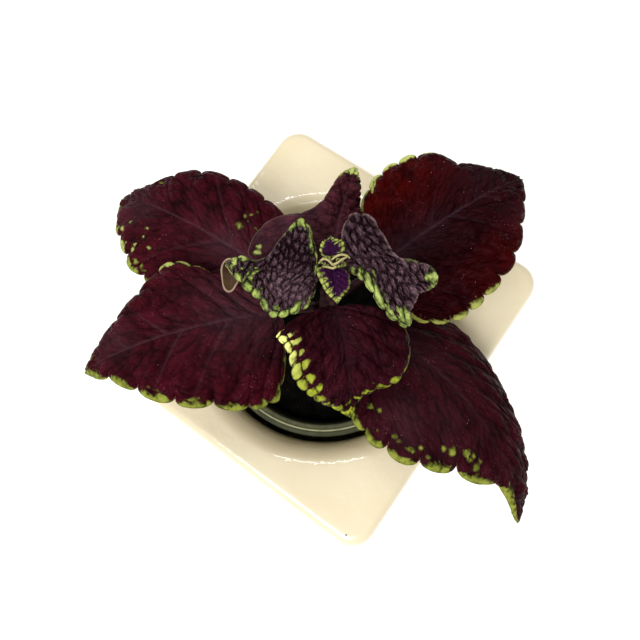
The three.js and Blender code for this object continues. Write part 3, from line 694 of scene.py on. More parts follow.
# %% Pair 1
MATURE = dict(COMMON, cell=(2.7, 3.4), relief=0.95)
LEAVES = {
    "leaf_pair1_left": dict(
        MATURE, height=88, heading=-179, petiole=16, petiole_rise=35, length=71, rise=26, droop=50,
        curl=21, sweep=8, roll=-2, twist=-3, fan=(2, 27), fold=(11, 10), bend=(29, 32), pucker=1.3,
        left=[16.5, 25.5, 32, 35, 32, 29.5], right=[15, 23, 28.5, 31, 28, 20.5],
        left_notches=[(0.14, 2), (0.27, 2.4), (0.415, 2.6), (0.579, 3), (0.719, 2.6), (0.86, 2)],
        right_notches=[(0.12, 1.2), (0.22, 1.6), (0.289, 1.4), (0.368, 1.6), (0.505, 2.4),
                       (0.671, 1.8), (0.8, 1.2), (0.92, 1)],
        left_lime=[0.6, 1.1, 1.8, 1.9, 1.9, 2.1, 1.4], right_lime=[0, 0.1, 0.15, 0.3, 0.4, 0.2, 0.5],
        flecks=0.05, sheen=[(0.31, -1, 7, 1.0), (0.80, -4, 9, 0.6)],
        pale=[(0.7, -20, 16, 0.35), (0.6, -12, 9, 0.8), (0.26, 10, 7, 0.2)],
        spots=[(0.29, 7.4, 1.05), (0.224, 9.6, 0.6), (0.277, 11.6, 0.42), (0.254, 13.0, 0.45),
               (0.234, 14.5, 0.36), (0.818, -12.1, 1.2), (0.79, -13.4, 0.7), (0.731, -12.9, 0.8),
               (0.664, -18.3, 0.9), (0.567, -18.6, 0.9), (0.574, -17.3, 0.6), (0.494, -21.9, 0.9),
               (0.531, -22.7, 0.7), (0.451, -22.4, 0.6), (0.724, -9.6, 0.5), (0.628, -8.7, 0.5),
               (0.587, -12.7, 0.4), (0.514, -15.1, 0.6), (0.257, 10.4, 0.36)]),
    "leaf_pair1_right": dict(
        MATURE, height=88, heading=11, petiole=14, petiole_rise=35, length=83.5, rise=22, droop=52,
        curl=15, sweep=-56, roll=14, twist=13, fan=(6, 28), fold=(0.5, 11), bend=(44, 29),
        pucker=0.9, lean=(0.3, 0.18), veins=0.4,
        left=[23, 27, 29, 29.5, 30, 29], right=[20.5, 34.5, 37.5, 31.5, 23, 10],
        left_notches=[(0.178, 1.2), (0.269, 1.2), (0.378, 1.6), (0.488, 1.3), (0.643, 1.4),
                      (0.791, 1.2), (0.905, 1)],
        right_notches=[(0.093, 2.8), (0.162, 3), (0.253, 4), (0.391, 3.6), (0.556, 4.4), (0.777, 3.2)],
        left_lime=[0, 0, 0, 0, 0.1, 0.2, 1.5], right_lime=[1.9, 1.9, 2.1, 2.2, 2.6, 3.3, 5],
        flecks=0.12, sheen=[(0.29, 20, 8, 1.0), (0.43, 12, 9, 0.6)],
        spots=[(0.167, 23.7, 0.9), (0.197, 22.9, 0.7), (0.274, 26.7, 0.7), (0.294, 26.8, 0.6),
               (0.334, 26.3, 0.7), (0.35, 26.0, 0.6), (0.374, 24.0, 0.6), (0.414, 24.3, 0.6),
               (0.431, 24.9, 0.8), (0.457, 17.9, 0.8), (0.494, 16.0, 1.2), (0.554, 12.3, 1.2),
               (0.594, 10.1, 0.8), (0.631, 10.5, 1.2), (0.638, 8.6, 0.6), (0.587, 12.0, 0.7)]),
}
print("blades of pair 1:", [leaf["length"] for leaf in LEAVES.values()], "mm")

# %% [markdown]
# ## Pair 2
# The second pair stands across the first, as in all plants of this family. Its leaves are about as
# wide as they are long. The back one has a paler left half, and its cells stand up more.

# %% Pair 2
LEAVES.update({
    "leaf_pair2_front": dict(
        MATURE, height=100, heading=-130, petiole=15, petiole_rise=25, length=62.5, rise=35, droop=50,
        curl=23, sweep=6, roll=-6, twist=0, fan=(5, 17), fold=(13, 8), bend=(27, 32), pucker=1.3,
        left=[25, 31, 31, 30, 25.5, 17.5], right=[8.5, 18, 31.5, 29, 25, 20],
        left_notches=[(0.05, 1.6), (0.11, 1.8), (0.19, 2.6), (0.33, 3.0), (0.49, 3.0), (0.68, 3.0),
                      (0.84, 2.0)],
        right_notches=[(0.12, 1), (0.2, 1.2), (0.26, 1.2), (0.32, 1.6), (0.418, 3), (0.557, 1.6),
                       (0.722, 1.4), (0.87, 1)],
        left_lime=[1.4, 1.8, 2.1, 2.2, 2.2, 2.2, 2.4], right_lime=[0.2, 0.3, 2.5, 0.3, 0.35, 0.8, 2.0],
        flecks=0.02, sheen=[(0.16, 1, 13, 1.0), (0.24, 9, 8, 0.6), (0.78, 5, 7, 0.6)],
        pale=[(0.33, 30, 9, 0.8)]),
    "leaf_pair2_back": dict(
        MATURE, height=100, heading=64, petiole=16.5, petiole_rise=29, length=56.5, rise=35, droop=50,
        curl=26, sweep=4, roll=1, twist=0, fan=(0, 22), fold=(11, 12), bend=(30, 28), pucker=1.2,
        veins=0.28, relief=1.15,
        left=[8.5, 25, 31, 30.5, 23.5, 19], right=[15.5, 29, 32.5, 32.5, 29, 23],
        left_notches=[(0.1, 1.8), (0.17, 1.8), (0.245, 2.4), (0.329, 2.6), (0.419, 2.4), (0.647, 1.8),
                      (0.84, 1)],
        right_notches=[(0.05, 1.4), (0.1, 1.6), (0.165, 2.2), (0.239, 2.4), (0.314, 2.4), (0.41, 2.6),
                       (0.549, 2.0), (0.717, 2.2), (0.86, 1.2)],
        left_lime=[2.4, 2.2, 1.9, 0.6, 0, 0, 0], right_lime=[1.7, 1.7, 1.8, -1.0, 0, 0, 0],
        flecks=0.0, sheen=[(0.78, -8, 13, 0.35), (0.8, 14, 8, 0.5)],
        pale=[(0.36, -29, 16, 0.75), (0.25, 29, 12, 0.3)]),
})
print("leaves so far:", len(LEAVES))

# %% [markdown]
# ## Pair 3
# The third pair is half grown. Its cells are smaller, and the front leaf has round beads of lime
# along most of its right half.

# %% Pair 3
LEAVES.update({
    "leaf_pair3_front": dict(
        MATURE, height=116, heading=-36, petiole=6.5, petiole_rise=27, length=33.5, rise=25, droop=81,
        curl=-2, sweep=-23, roll=4, twist=1, fan=(-3, 35), fold=(12, 15), bend=(37, 33), pucker=1.2,
        cell=(2.2, 2.9), relief=0.85, bead=3.4, gap=0.16, round=True,
        left=[5.5, 19.5, 23, 20.5, 12.5, 6], right=[20, 18, 21, 19.5, 17.5, 13.5],
        left_notches=[(0.1, 0.5), (0.25, 0.6), (0.405, 0.9), (0.503, 1.2), (0.62, 1.2), (0.74, 1.3),
                      (0.87, 1)],
        right_notches=[(0.04, 0.9), (0.08, 0.9), (0.13, 1), (0.19, 1.1), (0.26, 1.2), (0.34, 1.3),
                       (0.43, 1.3), (0.53, 1.3), (0.65, 1.3), (0.77, 1.3), (0.89, 1)],
        left_lime=[0.0, 0.2, 0.4, 2.0, 2.5, 2.3, 2.3], right_lime=[-0.6, 4.6, 4.0, 3.4, 3.2, 2.6, 3],
        flecks=0.0, pale=[(0.12, 19, 5, 1.5), (0.25, 18, 4, 0.1)]),
    "leaf_pair3_back": dict(
        MATURE, height=116, heading=116, petiole=4.5, petiole_rise=36, length=34, rise=19, droop=41,
        curl=-3, sweep=-9, roll=-17, twist=-8, fan=(-12, 41), fold=(10, -1), bend=(30, 46),
        pucker=1.2, cell=(1.7, 3.6), level_cells=0, relief=1.3,
        left=[24.5, 23.5, 13, 10.5, 10.5, 10.5], right=[9, 13, 15, 13.5, 13, 13],
        left_notches=[(0.16, 0.4), (0.3, 0.4), (0.46, 0.35), (0.64, 0.3), (0.82, 0.3)],
        right_notches=[(0.14, 0.5), (0.3, 0.5), (0.47, 0.4), (0.64, 0.3), (0.82, 0.3)],
        left_lime=[0, 0, 0, 0, 0, 1.4, 3.6], right_lime=[0.2, 0, 0, 0, 0.3, 1.6, 3.6],
        flecks=0.02, sheen=[(0.15, -12, 12, 1.0)], pale=[(0.09, -21, 3, 1.0), (0.92, 0.5, 5, 0.8)],
        spots=[(0.077, -21.1, 1.0), (0.1, -20.9, 0.7)]),
})
print("leaves so far:", len(LEAVES))

# %% [markdown]
# ## Pair 4
# The young pair is short and strongly puckered, with most of its relief in cells of middle size. Its
# margin is a row of round beads that stand up as pads.

# %% Pair 4
YOUNG = dict(COMMON, pucker=1.0, relief=1.05, grain=(0.1, 0.65, 0.25), round=True, bead_height=0.0,
             pad=1.1, lens=0.45)
LEAVES.update({
    "leaf_pair4_left": dict(
        YOUNG, height=128, heading=-143, petiole=3.6, petiole_rise=29, length=24, rise=29, droop=27,
        curl=9, sweep=-12, roll=9, twist=7, fan=(-4, 21), fold=(13, 20), bend=(28, 20),
        cell=(1.5, 2.5), level_cells=-26, gap=0.16,
        left=[6.5, 12, 15.5, 12.5, 11.5, 9.5], right=[4.5, 15.5, 11.5, 6, 3.5, 6.5],
        left_notches=[(0.05, 1.2), (0.12, 1.4), (0.2, 1.5), (0.28, 1.4), (0.37, 1.6), (0.483, 1.5),
                      (0.6, 1.2), (0.76, 1.2)],
        right_notches=[(0.07, 1.2), (0.14, 1.2), (0.22, 0.8), (0.535, 0.3), (0.716, 0.5), (0.86, 0.8)],
        left_lime=[0.0, 2.6, 2.6, 2.8, 3.2, 4, 6], right_lime=[1.4, 1.9, 0.1, 0.2, 0.2, 1.6, 4.5],
        flecks=0.05, smooth=[(0.14, -7.5, 4, 0.6)], dim=[(0.08, 3, 5, 0.25)],
        pale=[(0.95, 0, 4, 0.5)], light=[(0.3, -3, 7, 0.06)]),
    "leaf_pair4_right": dict(
        YOUNG, height=128, heading=39, petiole=8, petiole_rise=47, length=22.5, rise=16, droop=39,
        curl=1, sweep=-28, roll=-9, twist=-1, fan=(-10, 22), fold=(16, 10), bend=(24, 27),
        cell=(1.7, 3.1), level_cells=33, bead=4.0, hook=-1.0,
        left=[12, 14, 7, 3.5, 5, 6.5], right=[1, 5, 16, 21.5, 14, 9.5],
        left_notches=[(0.063, 0.4), (0.14, 0.5), (0.25, 0.5), (0.4, 0.3), (0.7, 0.4)],
        right_notches=[(0.08, 1.2), (0.15, 1.4), (0.22, 1.6), (0.3, 1.6), (0.385, 1.7), (0.48, 1.6),
                       (0.6, 1.3), (0.78, 1)],
        left_lime=[0, 0, 0, 0, 0.1, 0.2, 3.0], right_lime=[0.8, 2.9, 2.7, 2.1, -2.5, -0.5, 2.0],
        flecks=0.0, pale=[(0.12, 8, 6, 0.5), (0.92, -0.4, 3, 0.4)],
        spots=[(0.90, -0.6, 1.3), (0.94, -0.3, 1.4)]),
})
print("longest blade:", max(leaf["length"] for leaf in LEAVES.values()), "mm")

# %% [markdown]
# ## The numbers of the newest leaves
# The newest pair sits just above the stem's top, and the leaflets between them are still folded up
# along their ribs. They use the same table at a smaller size.

# %% Newest leaves
NEW = dict(COMMON, cell=(0.7, 1.1), flecks=0.0, roll=0, twist=0)
EVEN_NOTCHES = [(0.15, 0.4), (0.3, 0.5), (0.45, 0.5), (0.6, 0.5), (0.78, 0.4)]
NEWEST = {
    "newest_back": dict(
        NEW, height=136, heading=124, petiole=2, petiole_rise=50, length=6, rise=45, droop=60,
        curl=10, sweep=7, fan=(-2, 34), fold=(13, 12), bend=(29, 29), pucker=0.12, relief=0.1,
        left=[2, 3.5, 4, 4, 3.5, 2.5], right=[1.5, 3.5, 4.5, 4.5, 3.5, 2.5],
        left_notches=EVEN_NOTCHES, right_notches=EVEN_NOTCHES,
        left_lime=[0.75] * 7, right_lime=[1.1, 1.2, 1.2, 1.1, 1.1, 1.2, 1.4],
        bead=1.1, pad=0.9, lens=0.4),
    "newest_front": dict(
        NEW, height=136, heading=-49, petiole=1.5, petiole_rise=54, length=9.5, rise=30, droop=50,
        curl=10, sweep=5, roll=8, fan=(-10, 35), fold=(14, 20), bend=(27, 20), pucker=0.15, relief=0.12,
        left=[2.5, 4.5, 5.5, 5.5, 4.5, 3.5], right=[4, 4.5, 4.5, 4.5, 4, 3],
        left_notches=[(0.12, 0.4), (0.24, 0.5), (0.36, 0.5), (0.5, 0.5), (0.64, 0.5), (0.8, 0.4)],
        right_notches=[(0.12, 0.5), (0.24, 0.6), (0.36, 0.6), (0.5, 0.6), (0.64, 0.6), (0.8, 0.5)],
        left_lime=[0.3, 0.3, 0.3, 0.3, 0.5, 0.9, 1.6], right_lime=[1.3, 1.6, 1.7, 1.7, 1.5, 1.4, 1.4],
        bead=1.2, pad=0.9, lens=0.4),
}
FOLDED_HALF, FOLDED_NOTCHES = [1.2, 1.5, 1.6, 1.5, 1.3, 1.0], [(0.25, 0.15), (0.5, 0.2), (0.75, 0.15)]
FOLDED = dict(
    NEW, height=138, petiole=0.5, petiole_rise=20, droop=60, curl=15, sweep=10, fan=(10, 30),
    fold=(48, 48), bend=(30, 30), pucker=0.05, relief=0.06, left=FOLDED_HALF, right=FOLDED_HALF,
    left_notches=FOLDED_NOTCHES, right_notches=FOLDED_NOTCHES, left_lime=[0.55] * 7,
    right_lime=[0.55] * 7)
print("newest blades:", [leaf["length"] for leaf in NEWEST.values()], "mm")

# %% [markdown]
# ## How an edge is lobed
# Each half of a blade has its own widths and notches, so most values are worked out for both halves
# and then picked by the side that a point lies on. The lobe between two notches gives each point a
# phase that runs from 0 at one notch to 1 at the next.

# %% Widths and lobes
BASE_ROUNDED_BY = 0.07
NOTCH_DEPTH = 0.85
LAST_ROW = 0.9985


def half_width(values, along):
    base = 0.3 + 0.7 * np.sqrt(np.clip(along / BASE_ROUNDED_BY, 0, 1))
    full = np.maximum(smooth_through([*values, values[-1] * 0.8], along), 0.2)
    return full * base * np.sqrt(np.clip(1 - along, 0, None))


def both_sides(leaf, is_right, table, value):
    """The value worked out for each half of the blade from that half's own table."""
    return np.where(is_right, value(leaf["right" + table]), value(leaf["left" + table]))


def width_at(leaf, along, across):
    return both_sides(leaf, across > 0, "", lambda values: half_width(values, along))


def lobes(notches, along):
    """A lobe's start, its width, the phase in it, its depth there, and its number."""
    stops = np.array([0.0, *[t for t, _ in notches], 1.0])
    depths = np.array([notches[0][1], *[d for _, d in notches], 0.0])
    k = np.clip(np.searchsorted(stops, along, side="right") - 1, 0, len(stops) - 2)
    width = stops[k + 1] - stops[k]
    phase = np.clip((along - stops[k]) / width, 0, 1)
    return stops[k], width, phase, depths[k] * (1 - phase) + depths[k + 1] * phase, k


widest = max(max(leaf["left"]) + max(leaf["right"]) for leaf in LEAVES.values())
print("widest blade, before its notches:", widest, "mm")

# %% [markdown]
# ## Rows that follow the lobes
# A net of straight rows would cut lobes off wherever a notch falls between two rows. So at the edge
# the nearest row is drawn right into each notch, and the rows between crowd towards the notches and
# bulge past them, which makes every lobe come out round.

# %% Rows of the net
def rows_on_notches(leaf, stations, across):
    def drawn(notches):
        row_list = stations[:, 0]
        stops = [0.0, *[t for t, _ in notches], 1.0]
        nearest = [row_list[np.argmin(np.abs(row_list - t))] for t in stops]
        return np.interp(stations, nearest, stops)
    share = np.abs(across)
    return stations * (1 - share) + share * both_sides(leaf, across > 0, "_notches", drawn)


def rounded_rows(leaf, stations, across):
    def crowded(notches):
        start, width, phase, _, _ = lobes(notches, stations)
        bulge = 1 + 0.12 * np.sin(np.pi * phase) ** 2
        return start + width * (0.5 - 0.5 * np.cos(np.pi * phase) * bulge)
    share = np.abs(across) ** 3
    along = stations * (1 - share) + share * both_sides(leaf, across > 0, "_notches", crowded)
    return np.clip(along, 0, LAST_ROW)


even_rows = np.linspace(0, 1, 6)[:, None]
at_right_edge = rounded_rows(LEAVES["leaf_pair1_left"], even_rows, np.ones((6, 1)))
print("six even rows at the right edge:", at_right_edge.ravel().round(2))

# %% [markdown]
# ## How a blade grows
# A coleus blade is not flat. From the end of the petiole its rib rises, arches over and curls down
# at the tip, each half folds up from the rib and turns down again towards its edge, and the side
# veins lean forward like a fan. So the blade is worked out as a surface: one number says how far
# along the rib, another how far across, from -1 at the left edge to 1 at the right one.

# %% Rib and blade surface
RIB_STEPS = 60


def rib_of(leaf):
    t = np.linspace(0, 1, RIB_STEPS)
    slope = leaf["rise"] - leaf["droop"] * t - leaf["curl"] * t**4
    ahead = direction(leaf["heading"] + leaf["sweep"] * t, slope)
    stalk = direction(leaf["heading"], leaf["petiole_rise"]) * leaf["petiole"]
    start = stem_middle(leaf["height"]) + stalk
    steps = (ahead[1:] + ahead[:-1]) / 2 * leaf["length"] / (RIB_STEPS - 1)
    return t, np.vstack([start, start + np.cumsum(steps, 0)]), ahead


def rib_axes(leaf, along, ahead):
    """Unit vectors along the blade, level across it and up from it, with its roll."""
    forward = ahead / np.linalg.norm(ahead, axis=-1, keepdims=True)
    heading = np.radians(leaf["heading"] + leaf["sweep"] * along)
    level = np.stack([np.sin(heading), -np.cos(heading), 0 * heading], -1)
    upright = np.cross(level, forward)
    roll = np.radians(leaf["roll"] + leaf["twist"] * along)[..., None]
    side = level * np.cos(roll) + upright * np.sin(roll)
    return forward, side, upright * np.cos(roll) - level * np.sin(roll)


def blade_surface(leaf, along, across):
    steps, points, ahead = rib_of(leaf)
    middle, ahead = (np.stack([np.interp(along, steps, table[:, k]) for k in range(3)], -1)
                     for table in (points, ahead))
    forward, side, up = rib_axes(leaf, along, ahead)
    reach, width = np.abs(across), width_at(leaf, along, across)
    fold, bend = (np.radians(np.where(across > 0, leaf[key][1], leaf[key][0])) for key in ("fold", "bend"))
    out = (np.sin(fold) - np.sin(fold - bend * reach)) / bend
    lift = (np.cos(fold - bend * reach) - np.cos(fold)) / bend
    base, tip = leaf["fan"]
    fan = np.radians(base + (tip - base) * np.clip(along / 0.45, 0, 1) ** 0.8)
    return (middle + forward * (width * reach * np.sin(fan))[..., None]
            + side * (width * out * np.cos(fan) * np.sign(across))[..., None]
            + up * (width * lift)[..., None])


tips = [blade_surface(leaf, np.array(1.0), np.array(0.0)) for leaf in LEAVES.values()]
print("lowest tip of a leaf:", round(float(min(tip[2] for tip in tips)), 1), "mm up")

# %% [markdown]
# ## Drawing the edge in
# Between two lobes the edge is drawn in, square to the edge itself. Relief is set off along the
# normal of the blade as it would be without notches, smoothed a little, so that it never pinches
# where two lobes meet.

# %% Notched surface and its normal
def unit(vectors):
    return vectors / (np.linalg.norm(vectors, axis=-1, keepdims=True) + 1e-9)


def cut_depth(leaf, rows, across, along):
    """How far the blade is drawn in between two lobes, in mm, fading fast towards the rib."""
    def cut_of(notches):
        _, _, phase, depth, _ = lobes(notches, rows)
        return NOTCH_DEPTH * depth * (1 - np.sin(np.pi * phase))
    widest_cut = width_at(leaf, along, across) / 4.0
    cut = np.minimum(both_sides(leaf, across > 0, "_notches", cut_of), widest_cut)
    return cut * np.abs(across) ** 5


def notched_surface(leaf, rows, across):
    along = rounded_rows(leaf, rows, across)
    side = np.where(across > 0, 1.0, -1.0)
    at_edge = np.clip(rounded_rows(leaf, rows, side), 0.02, 0.975)
    edge = blade_surface(leaf, at_edge, side)
    ahead, behind = (blade_surface(leaf, at_edge + step, side) for step in (0.015, -0.015))
    tangent = unit(ahead - behind)
    inward = blade_surface(leaf, at_edge, side * 0.9) - edge
    inward = unit(inward - tangent * (inward * tangent).sum(-1, keepdims=True))
    return blade_surface(leaf, along, across) + inward * cut_depth(leaf, rows, across, along)[..., None]


def smooth_normal(leaf, along, across):
    side = np.where(across > 0, 1.0, -1.0)
    t, reach = np.clip(along, 0.02, 0.97), np.clip(np.abs(across), 0.02, 0.98)
    ahead, behind = (blade_surface(leaf, t + step, side * reach) for step in (0.01, -0.01))
    outer, inner = (blade_surface(leaf, t, side * (reach + step)) for step in (0.01, -0.01))
    normal = unit(np.cross((outer - inner) * side[..., None], ahead - behind))
    for _ in range(6):
        normal[:, 1:-1] = unit(normal[:, :-2] + 2 * normal[:, 1:-1] + normal[:, 2:])
    return normal


notch_rows = [leaf[side + "_notches"] for leaf in LEAVES.values() for side in ("left", "right")]
deepest = max(depth for notch_row in notch_rows for _, depth in notch_row)
print(sum(map(len, notch_rows)), "notches, the deepest", round(NOTCH_DEPTH * deepest, 1), "mm")

# %% [markdown]
# ## Cells
# Between its veins the blade swells, because it grows faster there than the veins do, and the
# finest veins divide the swelling into small domed cells. Noise textures would give bumps without
# a plan. Here the cells come from scattered seeds: each point of the blade belongs to its nearest
# seed, and the dome falls to the line half way to the next seed, which is where the fine vein runs.

# %% Cell pattern
PATTERN_SIZE = 64


def cell_pattern(x, y, seed, spread=0.8):
    """Each point's dome height 0..1, its cell's own number 0..1, and the distance to its seed."""
    dice = np.random.default_rng(seed)
    jitter = 0.5 + spread * dice.uniform(-0.5, 0.5, (PATTERN_SIZE, PATTERN_SIZE, 2))
    numbers = dice.uniform(0, 1, (PATTERN_SIZE, PATTERN_SIZE))
    column, row = np.floor(x).astype(int), np.floor(y).astype(int)
    nearest = np.full(x.shape, 1e9)
    second = nearest.copy()
    number = np.zeros_like(x)
    for i in (-1, 0, 1):
        for j in (-1, 0, 1):
            a, b = (column + i) % PATTERN_SIZE, (row + j) % PATTERN_SIZE
            gap = np.hypot(column + i + jitter[a, b, 0] - x, row + j + jitter[a, b, 1] - y)
            closer = gap < nearest
            second = np.where(closer, nearest, np.minimum(second, gap))
            number = np.where(closer, numbers[a, b], number)
            nearest = np.where(closer, gap, nearest)
    dome = np.clip(second - nearest, 0, 1)
    return dome * (2 - dome), number, nearest


sample = cell_pattern(np.linspace(0, 9, 400), np.full(400, 4.5), seed=1)
print("cells met on a line nine cells long:", len(set(sample[1])))

# %% [markdown]
# ## Distances on a blade
# Veins, margins and spots are drawn by distance: to the nearest side vein, to the edge, and to the
# middle of a patch. Each side vein ends in a lobe, so the veins lie half way between the notches.

# %% Distances on a blade
def vein_coordinate(along, reach, lean):
    """Side veins leave the rib nearer the base and run forward to the edge."""
    return along + lean * (1 - reach) ** 1.3 * np.clip(1.1 - along, 0, 1)


def vein_gap(notches, coordinate, length):
    """The distance in mm to the nearest side vein, the phase between two veins, and its number."""
    stops = np.array([0.0, *[t for t, _ in notches], 1.0])
    veins = np.concatenate([[-0.05], (stops[1:] + stops[:-1]) / 2, [1.05]])
    k = np.clip(np.searchsorted(veins, coordinate, side="right") - 1, 0, len(veins) - 2)
    phase = (coordinate - veins[k]) / (veins[k + 1] - veins[k])
    gap = np.minimum(phase, 1 - phase) * (veins[k + 1] - veins[k]) * length
    return gap, phase, k + (phase > 0.5)


def edge_distance(points, outline):
    """Distance in mm from each point to the edge of the net `outline`."""
    rim = np.concatenate([outline[:, 0], outline[:, -1], outline[-1]])
    flat = points.reshape(-1, 3)
    nearest = np.full(len(flat), 1e9)
    for start in range(0, len(rim), 40):
        gap = flat[:, None] - rim[None, start:start + 40]
        nearest = np.minimum(nearest, np.sqrt((gap**2).sum(-1)).min(1))
    return nearest.reshape(points.shape[:2])


def patches(leaf, key, net, start=0.0):
    """The leaf's soft round patches of one kind, each fading from its strength to nothing."""
    total = start + 0 * net.along
    for at_along, at_aside, size, strength in leaf[key]:
        lengthwise = ((net.along - at_along) * leaf["length"] / size) ** 2
        total = np.maximum(total, strength * np.exp(-(lengthwise + ((net.aside - at_aside) / size) ** 2)))
    return total


def line(distance, width):
    """1 on a line, fading to nothing at about twice its width."""
    return np.exp(-((distance / width) ** 2))


print("a line 1 mm wide, at 0, 1 and 2 mm:", line(np.arange(3), 1).round(2))

# %% [markdown]
# ## The net of one blade
# Now one blade's net is laid out: its rows and columns, closer together at their ends, and for each
# point the place, the normal, the distances, the lobe and the side vein that it belongs to.
# `scale` is the blade's length against a blade of 70 mm: small leaves have finer veins and margins.

# %% Net of one blade
FULL_LENGTH = 70


def blade_net(leaf, rows, columns):
    u, s = np.linspace(0, 1, rows), np.linspace(-1, 1, columns)
    stations = 0.55 * u + 0.45 * (0.5 - 0.5 * np.cos(np.pi * u))
    s = np.sign(s) * (0.75 * np.abs(s) + 0.25 * np.sin(np.abs(s) * np.pi / 2))
    stations, across = np.meshgrid(stations, s, indexing="ij")
    stations = rows_on_notches(leaf, stations, across)
    net = SimpleNamespace(across=across, reach=np.abs(across), is_right=across > 0)
    net.along = rounded_rows(leaf, stations, across)
    net.width = width_at(leaf, net.along, across)
    net.aside = across * net.width
    net.base = notched_surface(leaf, stations, across)
    net.normal = smooth_normal(leaf, net.along, across)
    net.edge = edge_distance(net.base, net.base)
    unnotched = blade_surface(leaf, np.clip(stations, 0, LAST_ROW), across)
    net.outer = edge_distance(net.base, unnotched)
    _, lobe_width, net.phase, _, net.lobe = both_sides(
        leaf, net.is_right, "_notches", lambda notches: lobes(notches, stations))
    net.lobe_mm = lobe_width * leaf["length"]
    lean = np.where(net.is_right, leaf["lean"][1], leaf["lean"][0])
    net.coordinate = vein_coordinate(net.along, net.reach, lean)
    net.gap, net.between_veins, net.vein = both_sides(
        leaf, net.is_right, "_notches", lambda notches: vein_gap(notches, net.coordinate, leaf["length"]))
    net.scale = leaf["length"] / FULL_LENGTH
    return net


trial_leaf, trial_seed = LEAVES["leaf_pair1_left"], 20
trial = blade_net(trial_leaf, rows=24, columns=20)
print("trial net of", trial.along.size, "points, widest half", round(float(trial.width.max()), 1), "mm")

# %% [markdown]
# ## Veins and cells of one blade
# No two side veins are equally strong, so each gets a strength of its own from its number. Cells are
# longer towards the edge than along the rib, and small ones lie inside large ones. On a short, broad
# blade the net of cells would be stretched, so there it is laid out level instead.

# %% Veins and cells
def add_veins(leaf, net, seed):
    strength = 0.12 + 0.88 * np.abs(np.sin(2.3 * net.vein + seed + 1.5 * net.is_right)) ** 2.5
    net.side_vein = (leaf["veins"] * strength * line(net.gap, 0.28 + 0.2 * net.scale)
                     * np.clip(1.15 - net.reach, 0, 1))
    rib_width = 0.28 + 0.38 * net.scale * (1 - net.along)
    net.mid_vein = line(net.reach * net.width, rib_width) * (1 - 0.5 * net.along)
    net.veins = np.maximum(net.side_vein, net.mid_vein)


def add_cells(leaf, net, seed):
    x, y = net.coordinate * leaf["length"], net.aside
    if leaf["level_cells"] is not None:
        turn = np.radians(leaf["heading"] + leaf["level_cells"])
        x = net.base[..., 0] * np.cos(turn) + net.base[..., 1] * np.sin(turn)
        y = net.base[..., 1] * np.cos(turn) - net.base[..., 0] * np.sin(turn)
    x, y = x / leaf["cell"][0] + 9, y / leaf["cell"][1] + 31
    # The rows of cells wander a little.
    x, y = x + 0.35 * np.sin(1.1 * y), y + 0.35 * np.sin(0.9 * x)
    net.dome, _, _ = cell_pattern(x, y, seed)
    net.small_dome, net.small_number, _ = cell_pattern(x * 2.1 + 7, y * 2.1 + 3, seed + 1)
    net.broad_dome, _, _ = cell_pattern(x * 0.45 + 2, y * 0.5 + 5, seed + 3)
    net.smooth = patches(leaf, "smooth", net)


add_veins(trial_leaf, trial, trial_seed)
add_cells(trial_leaf, trial, trial_seed)
print("part of the trial blade on a vein:", round(float((trial.veins > 0.3).mean()), 2))

# %% [markdown]
# ## Relief of one blade
# The relief is a sum of simple shapes: the swelling between two side veins, the cells, the grooves
# of the veins, the pads of the lobes with their beads, the crease that runs in from each notch, and
# the hook of the edge. All of them fade out at the very tip.

# %% Relief
def relief_of(leaf, net):
    scale, reach = net.scale, net.reach
    inside = np.clip(net.edge / (2.2 * scale + 0.5), 0, 1)
    net.near_edge = np.clip(1 - net.edge / (2.8 * scale + 0.8), 0, 1)
    swelling = np.sin(np.pi * np.clip(net.between_veins, 0, 1)) ** 0.7 - 0.5
    swelling = leaf["pucker"] * swelling * inside * np.clip(reach * 3, 0, 1)
    broad, cell, small = leaf["grain"]
    cells = leaf["relief"] * (broad * (net.broad_dome - 0.6) + cell * (net.dome - 0.6)
                              + small * (net.small_dome - 0.6))
    cells *= (1 - net.veins) * (0.35 + 0.65 * inside) * (1 - net.smooth)
    groove = -(0.3 * net.side_vein + 0.5 * net.mid_vein) * (0.4 + 0.6 * scale)
    crease = line(np.minimum(net.phase, 1 - net.phase) * net.lobe_mm, 0.25 + 0.25 * scale)
    crease = crease * np.clip(1 - net.edge / (4 * scale + 1), 0, 1)
    beads = np.maximum(1, np.round(net.lobe_mm / leaf["bead"]))
    net.bead = np.abs(np.sin(np.pi * beads * net.phase)) ** 0.7
    lobe_pad = leaf["pad"] * scale**0.5 * (np.sin(np.pi * net.phase) ** 0.6 - 0.5)
    pad = (lobe_pad + leaf["bead_height"] * (net.bead - 0.6)) * net.near_edge
    hook = -leaf["hook"] * (0.4 + 0.6 * scale) * net.near_edge**2
    lift = swelling + cells + groove + pad - 0.25 * crease + hook
    return lift * np.clip((1 - net.along) / 0.04, 0, 1)


trial_relief = relief_of(trial_leaf, trial)
print("trial relief, lowest and highest, mm:", trial_relief.min().round(2), trial_relief.max().round(2))

# %% [markdown]
# ## Lime on one blade
# The lime margin is a lens at the outside of each lobe, broken into beads by the fine veins. Flecks
# of lime lie just inside it, and a leaf's table names the spots that stand elsewhere. Each of these
# gives a level in mm that is above zero inside the lime, so they join by taking the higher one.

# %% Lime
FLECK_SIZE = 2.1


